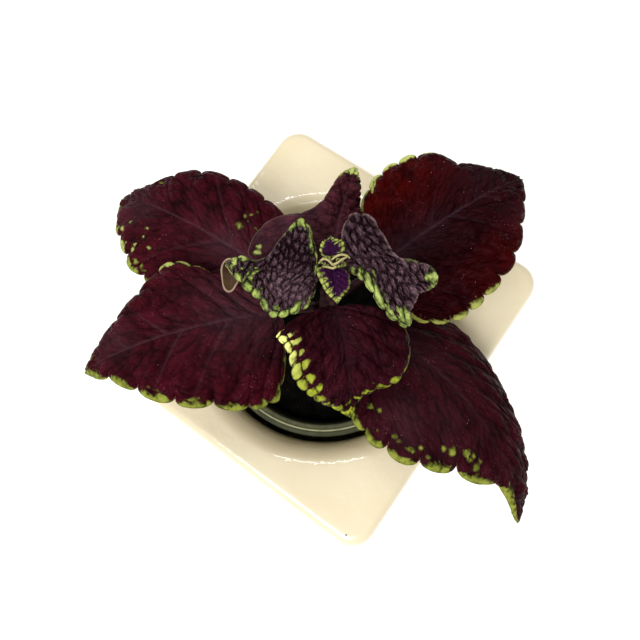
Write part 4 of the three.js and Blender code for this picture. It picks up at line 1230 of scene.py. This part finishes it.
def lime_margin(leaf, net, seed):
    """The margin's level, and how far in it reaches."""
    bead_mm = leaf["bead"]
    band = both_sides(leaf, net.is_right, "_lime", lambda values: smooth_through(values, net.along))
    lens = np.sin(np.pi * np.clip(net.phase, 0.02, 0.98)) ** leaf["lens"]
    in_row = (net.lobe * 7 + net.phase * np.maximum(1, net.lobe_mm / bead_mm * 1.3)
              + 11 * net.is_right)
    net.bead_dome, bead_number, off_bead = cell_pattern(
        in_row, net.outer / (0.8 * bead_mm) + 40, seed + 5, spread=0.65)
    ragged = 0.8 + 0.3 * net.bead + 0.8 * (bead_number - 0.45) + 0.3 * (net.small_number - 0.5)
    reach_in = np.maximum(band, 0) * lens * ragged
    level = np.where(band > 0.02, reach_in - net.outer, -2)
    # Beads stand apart inside, and run together at the very edge.
    joined = np.clip(1.3 - net.outer / (0.8 * net.scale + 0.2), 0, 1.3)
    level = np.minimum(level, 2.6 * (net.bead_dome - leaf["gap"]) + joined)
    if leaf["round"]:
        level = np.minimum(level, bead_mm * (0.48 + 0.2 * bead_number - off_bead) + 0.3 * joined)
    return level, reach_in


def lime_level(leaf, net, seed):
    level, reach_in = lime_margin(leaf, net, seed)
    x, y = net.along * leaf["length"] / FLECK_SIZE + 3, net.aside / FLECK_SIZE + 17
    _, fleck_number, off_fleck = cell_pattern(x, y, seed + 2)
    near = np.clip(1 - (net.outer - reach_in) / (1.2 + 2.4 * net.scale), 0, 1)
    fleck = (0.16 + 0.3 * net.small_number - off_fleck) * FLECK_SIZE
    level = np.maximum(level, fleck - 3 * (fleck_number > leaf["flecks"] * near))
    for at_along, at_aside, size in leaf["spots"]:
        off = ((net.along - at_along) * leaf["length"]) ** 2 + (net.aside - at_aside) ** 2
        away = np.linalg.norm(net.base - net.base.reshape(-1, 3)[off.argmin()], axis=-1)
        level = np.maximum(level, size * (0.75 + 0.5 * net.small_number) - away)
    return np.clip(level, -2, 2)


trial_lime = lime_level(trial_leaf, trial, trial_seed)
print("part of the trial blade in lime:", round(float((trial_lime > 0).mean()), 2))

# %% [markdown]
# ## One blade, put together
# The blade is its base lifted by its relief. The marks go with it as attributes, one number for
# each point, and the leaf finishes read them later.

# %% One blade
SMOOTH_GRAIN = 0.62


def blade_marks(leaf, net, seed):
    broad, cell, small = leaf["grain"]
    grain = broad * net.broad_dome + cell * net.dome + small * net.small_dome
    grain = grain * (1 - net.smooth) + SMOOTH_GRAIN * net.smooth
    # The `light` and `dim` patches paint light and shade into the grain, and so into colour and bump.
    grain += patches(leaf, "light", net) - patches(leaf, "dim", net)
    # A painted sheen near the base of the rib and in the leaf's `sheen` patches.
    at_base = np.exp(-((net.along / 0.4) ** 2) - (net.reach * net.width / (7 * net.scale + 1)) ** 2)
    return dict(lime=lime_level(leaf, net, seed), bloom=patches(leaf, "sheen", net, at_base),
                pale=patches(leaf, "pale", net), vein=net.veins, dome=grain, edge=net.edge,
                bead=np.maximum(net.bead * net.near_edge, net.bead_dome),
                across=net.across, along=net.along)


def grow_blade(leaf, rows, columns, seed):
    net = blade_net(leaf, rows, columns)
    add_veins(leaf, net, seed)
    add_cells(leaf, net, seed)
    points = net.base + net.normal * relief_of(leaf, net)[..., None]
    return points, blade_marks(leaf, net, seed)


trial_points, trial_marks = grow_blade(trial_leaf, 24, 20, trial_seed)
print("trial blade spans, mm:", np.ptp(trial_points.reshape(-1, 3), axis=0).round(1))
print("its marks:", ", ".join(trial_marks))

# %% [markdown]
# ## Colour of a leaf
# A dark coleus gets its colour from red pigment over green, so it is a burgundy close to black,
# greyer where a painted sheen stands for fine hairs catching the light, and redder where painted
# light comes through. Lime patches are where the pigment is missing. The finish reads the marks that
# each blade carries and breaks their borders up with a little noise. Lime is brightest on the beads,
# a painted highlight, and in the middle of a patch, and olive where it fades into the dark. Dust lies
# on top in tiny specks, and pinkish flecks in drifts are a painted sheen of the hairs.

# %% Colours of a leaf finish
LIME, OLIVE = (0.270, 0.300, 0.045), (0.06, 0.070, 0.010)
LIME_PALE = (0.60, 0.68, 0.22)
# Dust, and the pinkish painted sheen of the fine hairs.
DUST, HAIR_SHEEN = (0.52, 0.44, 0.46), (0.30, 0.15, 0.16)


def dark_colour(f, fine, look):
    """The blade where it isn't lime, from the valleys between cells to their crests."""
    dome = f.plus(f.times(f.attribute("dome"), 0.75), f.times(fine, 0.5))
    # Valleys take the dark colour and crests the light one: partly the fine veins' own darker colour,
    # partly painted shade in the hollows and painted highlight on the crests.
    crests = f.step(f.plus(dome, f.sway(look.blotches, 0.12, 5.0)), *look.contrast)
    colour = f.mix(crests, look.valley, look.crest)
    if look.glow is not None:
        lit = f.times(f.attribute("glow"), f.step(f.noise(0.2, 3.0), 0.2, 0.6))
        colour = f.mix(lit, colour, look.glow)
    # The painted sheen pulls the blade towards the grey vein colour.
    colour = f.mix(f.times(f.attribute("bloom"), 0.34), colour, look.vein)
    return f.mix(f.times(f.attribute("vein"), 0.55), colour, look.vein)


def lime_colour(f, ragged, rim, look):
    # Beads are lighter and the very edge darker: painted highlight on the beads' domes and painted shade
    # where the edge turns down, with the fine veins between beads.
    tone = f.plus(f.times(f.step(ragged, -0.2, 1.1), 0.5), f.times(f.attribute("bead"), 0.45))
    tone = f.minus(f.plus(tone, f.sway(1.9, 0.6, 4.0)), f.times(rim, 0.35))
    colour = f.mix(f.step(tone, 0.1, 1.15), *look.lime)
    return f.mix(f.times(f.attribute("pale"), f.step(tone, 0.0, 0.7)), colour, look.pale_lime)


def dust_and_sheen(f, colour):
    speck = f.math("LESS_THAN", f.cells(0.55), 0.042)
    chosen = f.math("GREATER_THAN", f.noise(0.16, 2.0), 0.56)
    colour = f.mix(f.times(speck, chosen), colour, DUST)
    # Pinkish flecks in drifts: a painted sheen where fine hairs catch the light.
    sheen_speck = f.math("LESS_THAN", f.cells(1.05), 0.16)
    drifts = f.step(f.noise(0.12, 3.0), 0.5, 0.68)
    return f.mix(f.times(f.times(sheen_speck, drifts), 0.35), colour, HAIR_SHEEN)


print("lime is brighter than olive by", round(sum(LIME) / sum(OLIVE), 1), "times")

# %% [markdown]
# ## One finish for every leaf
# All blades share one graph and differ in a few colours and strengths. The dark blade is puckered
# cell by cell, and the lime bead by bead, with a finer grain over both.

# %% Leaf finish
USUAL_LOOK = dict(lime=(OLIVE, LIME), glow=None, pale_edge=(0.22, 0.17, 0.11), gloss=0.03,
                  pale_lime=LIME_PALE, contrast=(0.0, 1.15), blotches=1.3, domes=0.3)


def leaf_finish(name, valley, crest, vein, **changes):
    look = SimpleNamespace(valley=valley, crest=crest, vein=vein, **{**USUAL_LOOK, **changes})
    f = Finish(name, Roughness=0.38, Specular_IOR_Level=look.gloss, Specular_Tint=(1.0, 0.72, 0.85))
    fine = f.noise(0.9, 3.0)
    rim = f.minus(1.0, f.step(f.attribute("edge"), 0.02, 0.45))
    ragged = f.plus(f.attribute("lime"), f.sway(1.9, 0.8, 3.0))
    in_lime = f.step(ragged, -0.3, 0.25)
    # A painted highlight along the rim of the edge, where it turns down.
    colour = f.mix(f.times(rim, 0.4), dark_colour(f, fine, look), look.pale_edge)
    colour = dust_and_sheen(f, f.mix(in_lime, colour, lime_colour(f, ragged, rim, look)))
    dark_domes = f.times(f.attribute("dome"), f.minus(1.0, in_lime))
    lime_domes = f.times(f.attribute("bead"), f.times(in_lime, 0.6))
    cell_relief = f.bump(f.plus(dark_domes, lime_domes), look.domes, 1.0)
    relief = f.bump(fine, 0.16, 0.7, onto=f.bump(f.noise(3.2, 2.0), 0.05, 0.6, onto=cell_relief))
    return f.finish(Base_Color=colour, Normal=relief)


print("what a finish may change:", ", ".join(USUAL_LOOK))

# %% [markdown]
# ## The seven blade finishes
# Leaves differ by age, and some finishes are lit and shaded copies: the back leaf of pair 2 is thin,
# with red light painted in from behind, the right leaf of pair 1 is darkened with painted shade, the
# front leaf of pair 3 has the brightest edge, and the young pair is grey-purple and strongly puckered.

# %% Blade finishes
# Valley and crest colours: painted shade in the hollows between cells and painted highlight on the crests.
DARK_VALLEY, DARK_CREST = (0.006, 0.0002, 0.0008), (0.056, 0.0034, 0.0086)
GREY_VEIN = (0.085, 0.040, 0.056)
mature_finish = leaf_finish("dark_blade", DARK_VALLEY, DARK_CREST, GREY_VEIN)
red_finish = leaf_finish(
    "dark_blade_lit", (0.006, 0.0002, 0.0003), (0.019, 0.0008, 0.0017), (0.060, 0.030, 0.045),
    glow=(0.062, 0.0012, 0.0006), lime=((0.055, 0.055, 0.007), (0.27, 0.275, 0.040)), domes=0.7)
# A copy of the dark blade darkened with painted shade.
shaded_finish = leaf_finish(
    "dark_blade_shaded", (0.005, 0.0003, 0.0009), (0.042, 0.0036, 0.0076), (0.050, 0.022, 0.031))
back_finish = leaf_finish(
    "dark_blade_back", DARK_VALLEY, (0.086, 0.017, 0.026), GREY_VEIN, contrast=(0.1, 1.15), domes=0.8)
bright_finish = leaf_finish(
    "dark_blade_bright_edge", (0.005, 0.0003, 0.0009), (0.042, 0.0045, 0.0105), (0.022, 0.009, 0.014),
    lime=((0.08, 0.095, 0.009), (0.35, 0.40, 0.036)), pale_edge=(0.42, 0.38, 0.20),
    pale_lime=(0.92, 0.95, 0.30))
young_finish = leaf_finish(
    "young_blade", (0.020, 0.007, 0.012), (0.195, 0.112, 0.143), (0.09, 0.05, 0.06),
    lime=((0.05, 0.075, 0.012), (0.40, 0.52, 0.12)), pale_edge=(0.34, 0.23, 0.21), gloss=0.2,
    contrast=(0.36, 1.15), blotches=1.0, domes=2.4)
newest_finish = leaf_finish(
    "newest_blade", (0.006, 0.0005, 0.006), (0.050, 0.007, 0.056), (0.03, 0.008, 0.035),
    lime=((0.12, 0.14, 0.03), (0.44, 0.50, 0.12)), pale_edge=(0.4, 0.38, 0.2), gloss=0.04)
print("nodes in a leaf finish:", len(mature_finish.node_tree.nodes))

# %% [markdown]
# ## Undersides and skins
# The underside is a duller red with pale veins. Petioles, the stem and the pale threads in the bud
# are streaked with two colours that change with a coarse noise. The skins get a fine bump as well.

# %% Underside and streaked skins
def streaked(name, gloss, streaks, colours, bump=None):
    f = Finish(name, Roughness=0.5, Specular_IOR_Level=gloss)
    grain, detail, low, high = streaks
    looks = {"Base_Color": f.mix(f.step(f.noise(grain, detail), low, high), *colours)}
    if bump is not None:
        grain, detail, depth, strength = bump
        looks["Normal"] = f.bump(f.noise(grain, detail), depth, strength)
    return f.finish(**looks)


def underside_finish():
    f = Finish("leaf_underside", Roughness=0.6, Specular_IOR_Level=0.2)
    blotch = f.step(f.noise(0.2, 3.0), 0.35, 0.7)
    colour = f.mix(blotch, (0.070, 0.014, 0.020), (0.055, 0.026, 0.020))
    colour = f.mix(f.times(f.attribute("vein"), 0.8), colour, (0.16, 0.10, 0.09))
    colour = f.mix(f.step(f.attribute("lime"), -0.4, 0.4), colour, (0.22, 0.30, 0.05))
    return f.finish(Base_Color=colour, Normal=f.bump(f.attribute("dome"), -0.4, 0.8))


underside = underside_finish()
petiole_skin = streaked("petiole_skin", 0.12, (0.5, 3.0, 0.35, 0.7),
                        ((0.018, 0.004, 0.006), (0.045, 0.014, 0.015)), bump=(1.5, 2.0, 0.1, 0.6))
stem_skin = streaked("stem_skin", 0.12, (0.6, 4.0, 0.35, 0.7),
                     ((0.018, 0.005, 0.008), (0.048, 0.020, 0.020)), bump=(1.2, 3.0, 0.15, 0.6))
pale_thread = streaked("pale_thread", 0.3, (1.2, 2.0, 0.3, 0.7),
                       ((0.50, 0.41, 0.21), (0.36, 0.35, 0.13)))
print("skins:", ", ".join(skin.name for skin in (underside, petiole_skin, stem_skin, pale_thread)))

# %% [markdown]
# ## The stem's skin
# Plants of this family have square stems with a groove down each side, a little thicker at each
# node. The petioles grow out of this skin, so it is worked out before them.

# %% Stem's skin
STEM_WIDTH_LOW, STEM_WIDTH_TOP = 5.2, 2.6
NODE_HEIGHTS = sorted({leaf["height"] for leaf in LEAVES.values()})


def stem_reach(z, angles):
    """From the stem's middle to its skin: a square with rounded corners, thicker at each node."""
    share = np.clip((z - SOIL_TOP) / (STEM_TOP - SOIL_TOP), 0, 1)
    nearest = np.min([np.abs(height - z) for height in NODE_HEIGHTS], axis=0)
    swell = 1 + 0.18 * np.exp(-((nearest / 2.2) ** 2)) + 0.05 * np.exp(-((nearest / 0.4) ** 2))
    half = 0.5 * (STEM_WIDTH_LOW + (STEM_WIDTH_TOP - STEM_WIDTH_LOW) * share) * swell
    corner = 0.5 - 0.5 * np.cos(4 * angles)
    return half * (0.93 + 0.26 * corner**1.3)


print("nodes at", NODE_HEIGHTS, "mm")

# %% [markdown]
# ## Tubes
# A petiole is a short stalk that is round below and runs on under the blade as the thick part of
# the rib. It is a tube whose radius shrinks along a bent path, so each ring is set square to the
# path. The core of the growing tip and the threads in the bud are such tubes as well.

# %% Tube
def tube(path, radii, points=14, upright_rings=0):
    """Rings square to a path, closed at both ends by a ring of no size."""
    ahead = np.gradient(path, axis=0)
    ahead[:upright_rings, 2] *= np.linspace(0, 1, upright_rings)
    ahead /= np.linalg.norm(ahead, axis=1, keepdims=True)
    level = np.stack([ahead[:, 1], -ahead[:, 0], 0 * ahead[:, 0]], 1)
    level /= np.linalg.norm(level, axis=1, keepdims=True) + 1e-9
    upright = np.cross(level, ahead)
    angles = np.linspace(0, 2 * math.pi, points + 1)[None, :, None]
    circle = level[:, None] * np.cos(angles) + upright[:, None] * np.sin(angles)
    rings = path[:, None] + circle * np.asarray(radii)[:, None, None]
    first, last = (np.repeat(end[:, None], points + 1, 1) for end in (path[:1], path[-1:]))
    return np.concatenate([first, rings, last])


print("a tube of three rings:", tube(np.eye(3), [1, 1, 1]).shape, "with its closed ends")

# %% [markdown]
# ## Petioles
# A petiole has to meet a square stem that leans. At the stem its rings stand more and more upright,
# and the first one is cut to the stem's own skin, so that the stalk seems to grow out of it.

# %% Petiole
PETIOLE_RADIUS = 1.3
STALK_RINGS = 6
SKIN_GAP = 0.13
BELOW_BLADE = 0.55


def cut_to_stem(points, heading):
    """Slide points level along a heading until they lie on the stem's skin."""
    turn = math.radians(heading)
    forward = np.array([math.cos(turn), math.sin(turn)])
    aside = np.array([-math.sin(turn), math.cos(turn)])
    off = points[:, :2] - stem_middle(points[:, 2])[:2].T
    ahead, across = off @ forward, off @ aside
    reach = ahead
    for _ in range(4):
        skin = stem_reach(points[:, 2], turn + np.arctan2(across, reach)) + SKIN_GAP
        reach = np.sqrt(np.maximum(skin**2 - across**2, (0.4 * skin) ** 2))
    points[:, :2] += (reach - ahead)[:, None] * forward
    return points


def petiole_points(leaf, rooted):
    """The stalk of a leaf. A rooted one starts inside the growing tip, the others at the stem's skin."""
    _, rib, _ = rib_of(leaf)
    out = direction(leaf["heading"], leaf["petiole_rise"])
    middle = stem_middle(leaf["height"])
    foot, end = middle + out * 0.3, middle + out * leaf["petiole"]
    if not rooted:
        foot = cut_to_stem((foot + out * 1.5)[None], leaf["heading"])[0]
    below = foot + (end - foot) * np.linspace(0, 1, STALK_RINGS, endpoint=False)[:, None]
    path = np.vstack([below, rib[:int(RIB_STEPS * 0.55):3]])
    thinning = np.interp(np.linspace(0, 1, len(path)), [0, 0.12, 0.4, 1], [1.25, 1, 0.85, 0.35])
    radii = PETIOLE_RADIUS * min(1, 0.45 + leaf["length"] / 60) * thinning
    # Under the blade the stalk becomes the thick part of the rib, just below the blade's own skin.
    path[STALK_RINGS:, 2] -= radii[STALK_RINGS:] + BELOW_BLADE
    path[STALK_RINGS - 1, 2] -= 0.4
    if rooted:
        return tube(path, radii)
    points = tube(path, radii, upright_rings=STALK_RINGS)
    # The end is hollow like a cup, so that it doesn't cut into the round stem.
    points[0] += out * min(2.0, 0.75 * np.linalg.norm(end - foot))
    cut_to_stem(points[1], leaf["heading"])
    return points


print("petiole of pair 1, rings by points:", petiole_points(LEAVES["leaf_pair1_left"], False).shape[:2])

# %% [markdown]
# ## Making the leaves
# Each blade is one grid: its places and marks come from the functions above. Solidify gives it a
# real thickness with the underside in its own finish. The petiole is joined on, so one leaf is one
# piece, as it is on the plant. The back leaf of pair 2 glows where light comes through it: on its
# left half near the base, and along its right edge.

# %% Leaf maker
BLADE_THICKNESS = 0.45


def add_marks(piece, marks):
    for key, values in marks.items():
        layer = piece.data.attributes.new(key, "FLOAT", "POINT")
        layer.data.foreach_set("value", np.ascontiguousarray(values, dtype=np.float32).ravel())


def give_skin(piece, finish):
    """The piece shares a leaf's three finishes, and is petiole skin all over."""
    give(piece, finish, underside, petiole_skin)
    piece.data.polygons.foreach_set("material_index", [2] * len(piece.data.polygons))


def join_smoothly(piece, *others):
    join(piece, *others)
    bpy.ops.object.shade_smooth()


def make_leaf(name, leaf, finish, rows, columns, seed, glow=None, rooted=False,
              thickness=BLADE_THICKNESS):
    points, marks = grow_blade(leaf, rows, columns, seed)
    if glow is not None:
        marks["glow"] = glow(marks)
    blade = shaped_grid(name, points)
    add_marks(blade, marks)
    give(blade, finish, underside, petiole_skin)
    thicken(blade, thickness, offset=-0.6, material_offset=1, material_offset_rim=0)
    stalk = shaped_grid(name + "_stalk", petiole_points(leaf, rooted))
    close_seams(stalk, merge=0.01)
    give_skin(stalk, finish)
    join_smoothly(blade, stalk)
    return blade


def red_glow(marks):
    across, along = marks["across"], marks["along"]
    low_left = np.clip(-across * 1.6, 0, 1) * np.clip(1.25 - along * 1.7, 0, 1)
    right_edge = 0.45 * np.clip((across - 0.45) * 2.2, 0, 1) * np.clip(along * 3 - 0.4, 0, 1)
    return np.maximum(low_left, right_edge)


# %% [markdown]
# ## A rolled tip
# The end of the left young leaf has rolled under, so a round flap of its thin underside shows
# beside the tip. It is a disc with a wavy outline, hollow like a shallow bowl and pale at its rim.

# %% Curled flap
FLAP_PLACE, FLAP_HALVES, FLAP_BOWL = (-16.0, -10.7, 133.6), (2.6, 4.3), 0.9
FLAP_BROWNS, FLAP_RIM = ((0.042, 0.015, 0.008), (0.062, 0.034, 0.010)), (0.34, 0.24, 0.17)


def flap_finish():
    f = Finish("rolled_underside", Roughness=0.5, Specular_IOR_Level=0.2)
    brown = f.mix(f.step(f.noise(0.35, 3.0), 0.35, 0.65), *FLAP_BROWNS)
    rim = f.minus(1.0, f.step(f.attribute("edge"), 0.12, 0.32))
    return f.finish(Base_Color=f.mix(rim, brown, FLAP_RIM),
                    Normal=f.bump(f.noise(0.9, 3.0), 0.2, 0.7))


def curled_flap():
    shares, angles = np.linspace(0, 1, 14), np.linspace(0, 2 * math.pi, 49)
    share, angle = np.meshgrid(shares, angles, indexing="ij")
    round_off = share * (1 + 0.09 * np.sin(3 * angle + 0.8) + 0.05 * np.sin(2 * angle))
    aside, along = round_off * np.cos(angle) * FLAP_HALVES[0], round_off * np.sin(angle) * FLAP_HALVES[1]
    wavy = FLAP_BOWL * share**2 + 0.25 * share**3 * np.sin(5 * angle)
    points = np.array(FLAP_PLACE)
    for length, axis in ((aside, right), (along, up), (wavy, back)):
        points = points + length[..., None] * np.array(axis)
    flap = shaped_grid("flap", points)
    add_marks(flap, {"edge": (1 - share) * FLAP_HALVES[0]})
    close_seams(flap, merge=0.01)
    thicken(flap, 0.35, offset=0)
    give(flap, flap_finish())
    return flap


print("flap:", " by ".join(str(2 * half) for half in FLAP_HALVES), "mm")

# %% [markdown]
# ## The eight leaves
# Every leaf gets a finish and a net of its own size.

# %% Leaves
LEAF_NETS = {
    "leaf_pair1_left": (mature_finish, 190, 150), "leaf_pair1_right": (shaded_finish, 210, 160),
    "leaf_pair2_front": (mature_finish, 190, 160), "leaf_pair2_back": (red_finish, 180, 160),
    "leaf_pair3_front": (bright_finish, 150, 140), "leaf_pair3_back": (back_finish, 120, 100),
    "leaf_pair4_left": (young_finish, 150, 140), "leaf_pair4_right": (young_finish, 150, 140),
}
for order, (node, leaf) in enumerate(LEAVES.items()):
    finish, rows, columns = LEAF_NETS[node]
    glow = red_glow if node == "leaf_pair2_back" else None
    blade = make_leaf(node.replace("leaf", "blade"), leaf, finish, rows, columns, 20 + order, glow)
    if node == "leaf_pair4_left":
        join_smoothly(blade, curled_flap())
    dress(blade, "young_leaf" if "pair4" in node else "mature_leaf", node)

# %% [markdown]
# ## The growing tip
# At the top the newest pair is a few millimetres long, violet with lime teeth, and between the two
# stand the next leaflets, still folded along their ribs, so that mostly their pale edges show.
# They are the same kind of blade at a smaller size, folded steeply, on a short core. Four pale
# threads are the rolled edges of leaflets too small to be told apart.

# %% Growing tip
TIP_THICKNESS = 0.3
FOLDED_PAIR = ((22, 3.0, 38), (202, 3.0, 34))
CORE_TOP, CORE_RINGS, THREAD_RINGS = 138.6, 8, 24
THREADS = [
    [(2.1, 3.4, 137.6), (2.6, 4.6, 138.6), (3.8, 5.0, 139.0), (5.3, 4.8, 138.8), (6.3, 4.9, 138.0)],
    [(4.3, 5.1, 138.0), (4.8, 6.6, 138.8), (5.7, 7.8, 139.2), (6.8, 8.5, 138.9), (7.9, 8.7, 138.0)],
    [(5.0, 4.6, 138.2), (6.1, 5.5, 139.0), (6.7, 7.0, 139.2), (7.3, 8.5, 138.6)],
    [(3.3, 3.3, 137.6), (4.6, 3.6, 138.5), (6.1, 4.1, 138.8), (6.6, 5.7, 138.4), (6.8, 7.2, 137.8)],
]


def make_thread(name, stops):
    share = np.linspace(0, 1, THREAD_RINGS)
    path = np.stack([smooth_through([stop[axis] for stop in stops], share) for axis in range(3)], 1)
    radii = np.interp(share, [0, 0.2, 0.8, 1], [0.18, 0.3, 0.3, 0.15])
    thread = shaped_grid(name, tube(path, radii, points=10))
    close_seams(thread, merge=0.005)
    give(thread, pale_thread)
    return thread


def make_core():
    path = np.stack([stem_middle(z) for z in np.linspace(STEM_TOP + 0.02, CORE_TOP, CORE_RINGS)])
    # Almost upright at its foot, so that the first ring lies flat on the stem's top.
    path[0, :2] = path[1, :2] * 0.999
    radii = np.interp(np.linspace(0, 1, CORE_RINGS), [0, 0.4, 1], [1.4, 1.5, 0.5])
    core = shaped_grid("core", tube(path, radii))
    close_seams(core, merge=0.01)
    give_skin(core, newest_finish)
    return core


tip_parts = [make_leaf(name, leaf, newest_finish, 80, 60, 40 + k, rooted=True, thickness=TIP_THICKNESS)
             for k, (name, leaf) in enumerate(NEWEST.items())]
for k, (heading, length, rise) in enumerate(FOLDED_PAIR):
    leaf = dict(FOLDED, heading=heading, length=length, rise=rise)
    tip_parts.append(make_leaf(f"folded_{k}", leaf, newest_finish, 40, 30, 50 + k, rooted=True,
                               thickness=TIP_THICKNESS))
tip_parts += [make_thread(f"thread_{k}", stops) for k, stops in enumerate(THREADS)]
tip, *others = tip_parts
join(tip, *others, make_core())
tip.name = "tip_of_new_leaves"
dress(tip, "newest_leaf", "growing_tip")

# %% [markdown]
# ## The stem
# Everything that grows from the stem is in place, so its skin comes last. Rings whose radius
# follows the square give corners and grooves in one go.

# %% Stem
STEM_FOOT, STEM_RINGS, STEM_POINTS = 60.0, 150, 49


def stem_points():
    angles = np.linspace(0, 2 * math.pi, STEM_POINTS)
    heights = np.linspace(STEM_FOOT, STEM_TOP, STEM_RINGS)
    rings = [ring(stem_reach(z, angles), z, angles, stem_middle(z)) for z in heights]
    ends = [np.repeat(end.mean(0)[None], STEM_POINTS, 0) for end in (rings[0], rings[-1])]
    return np.stack([ends[0], *rings, ends[1]])


stem = shaped_grid("square_stem", stem_points())
close_seams(stem, merge=0.01)
give(stem, stem_skin)
dress(stem, "stem_skin", "stem")
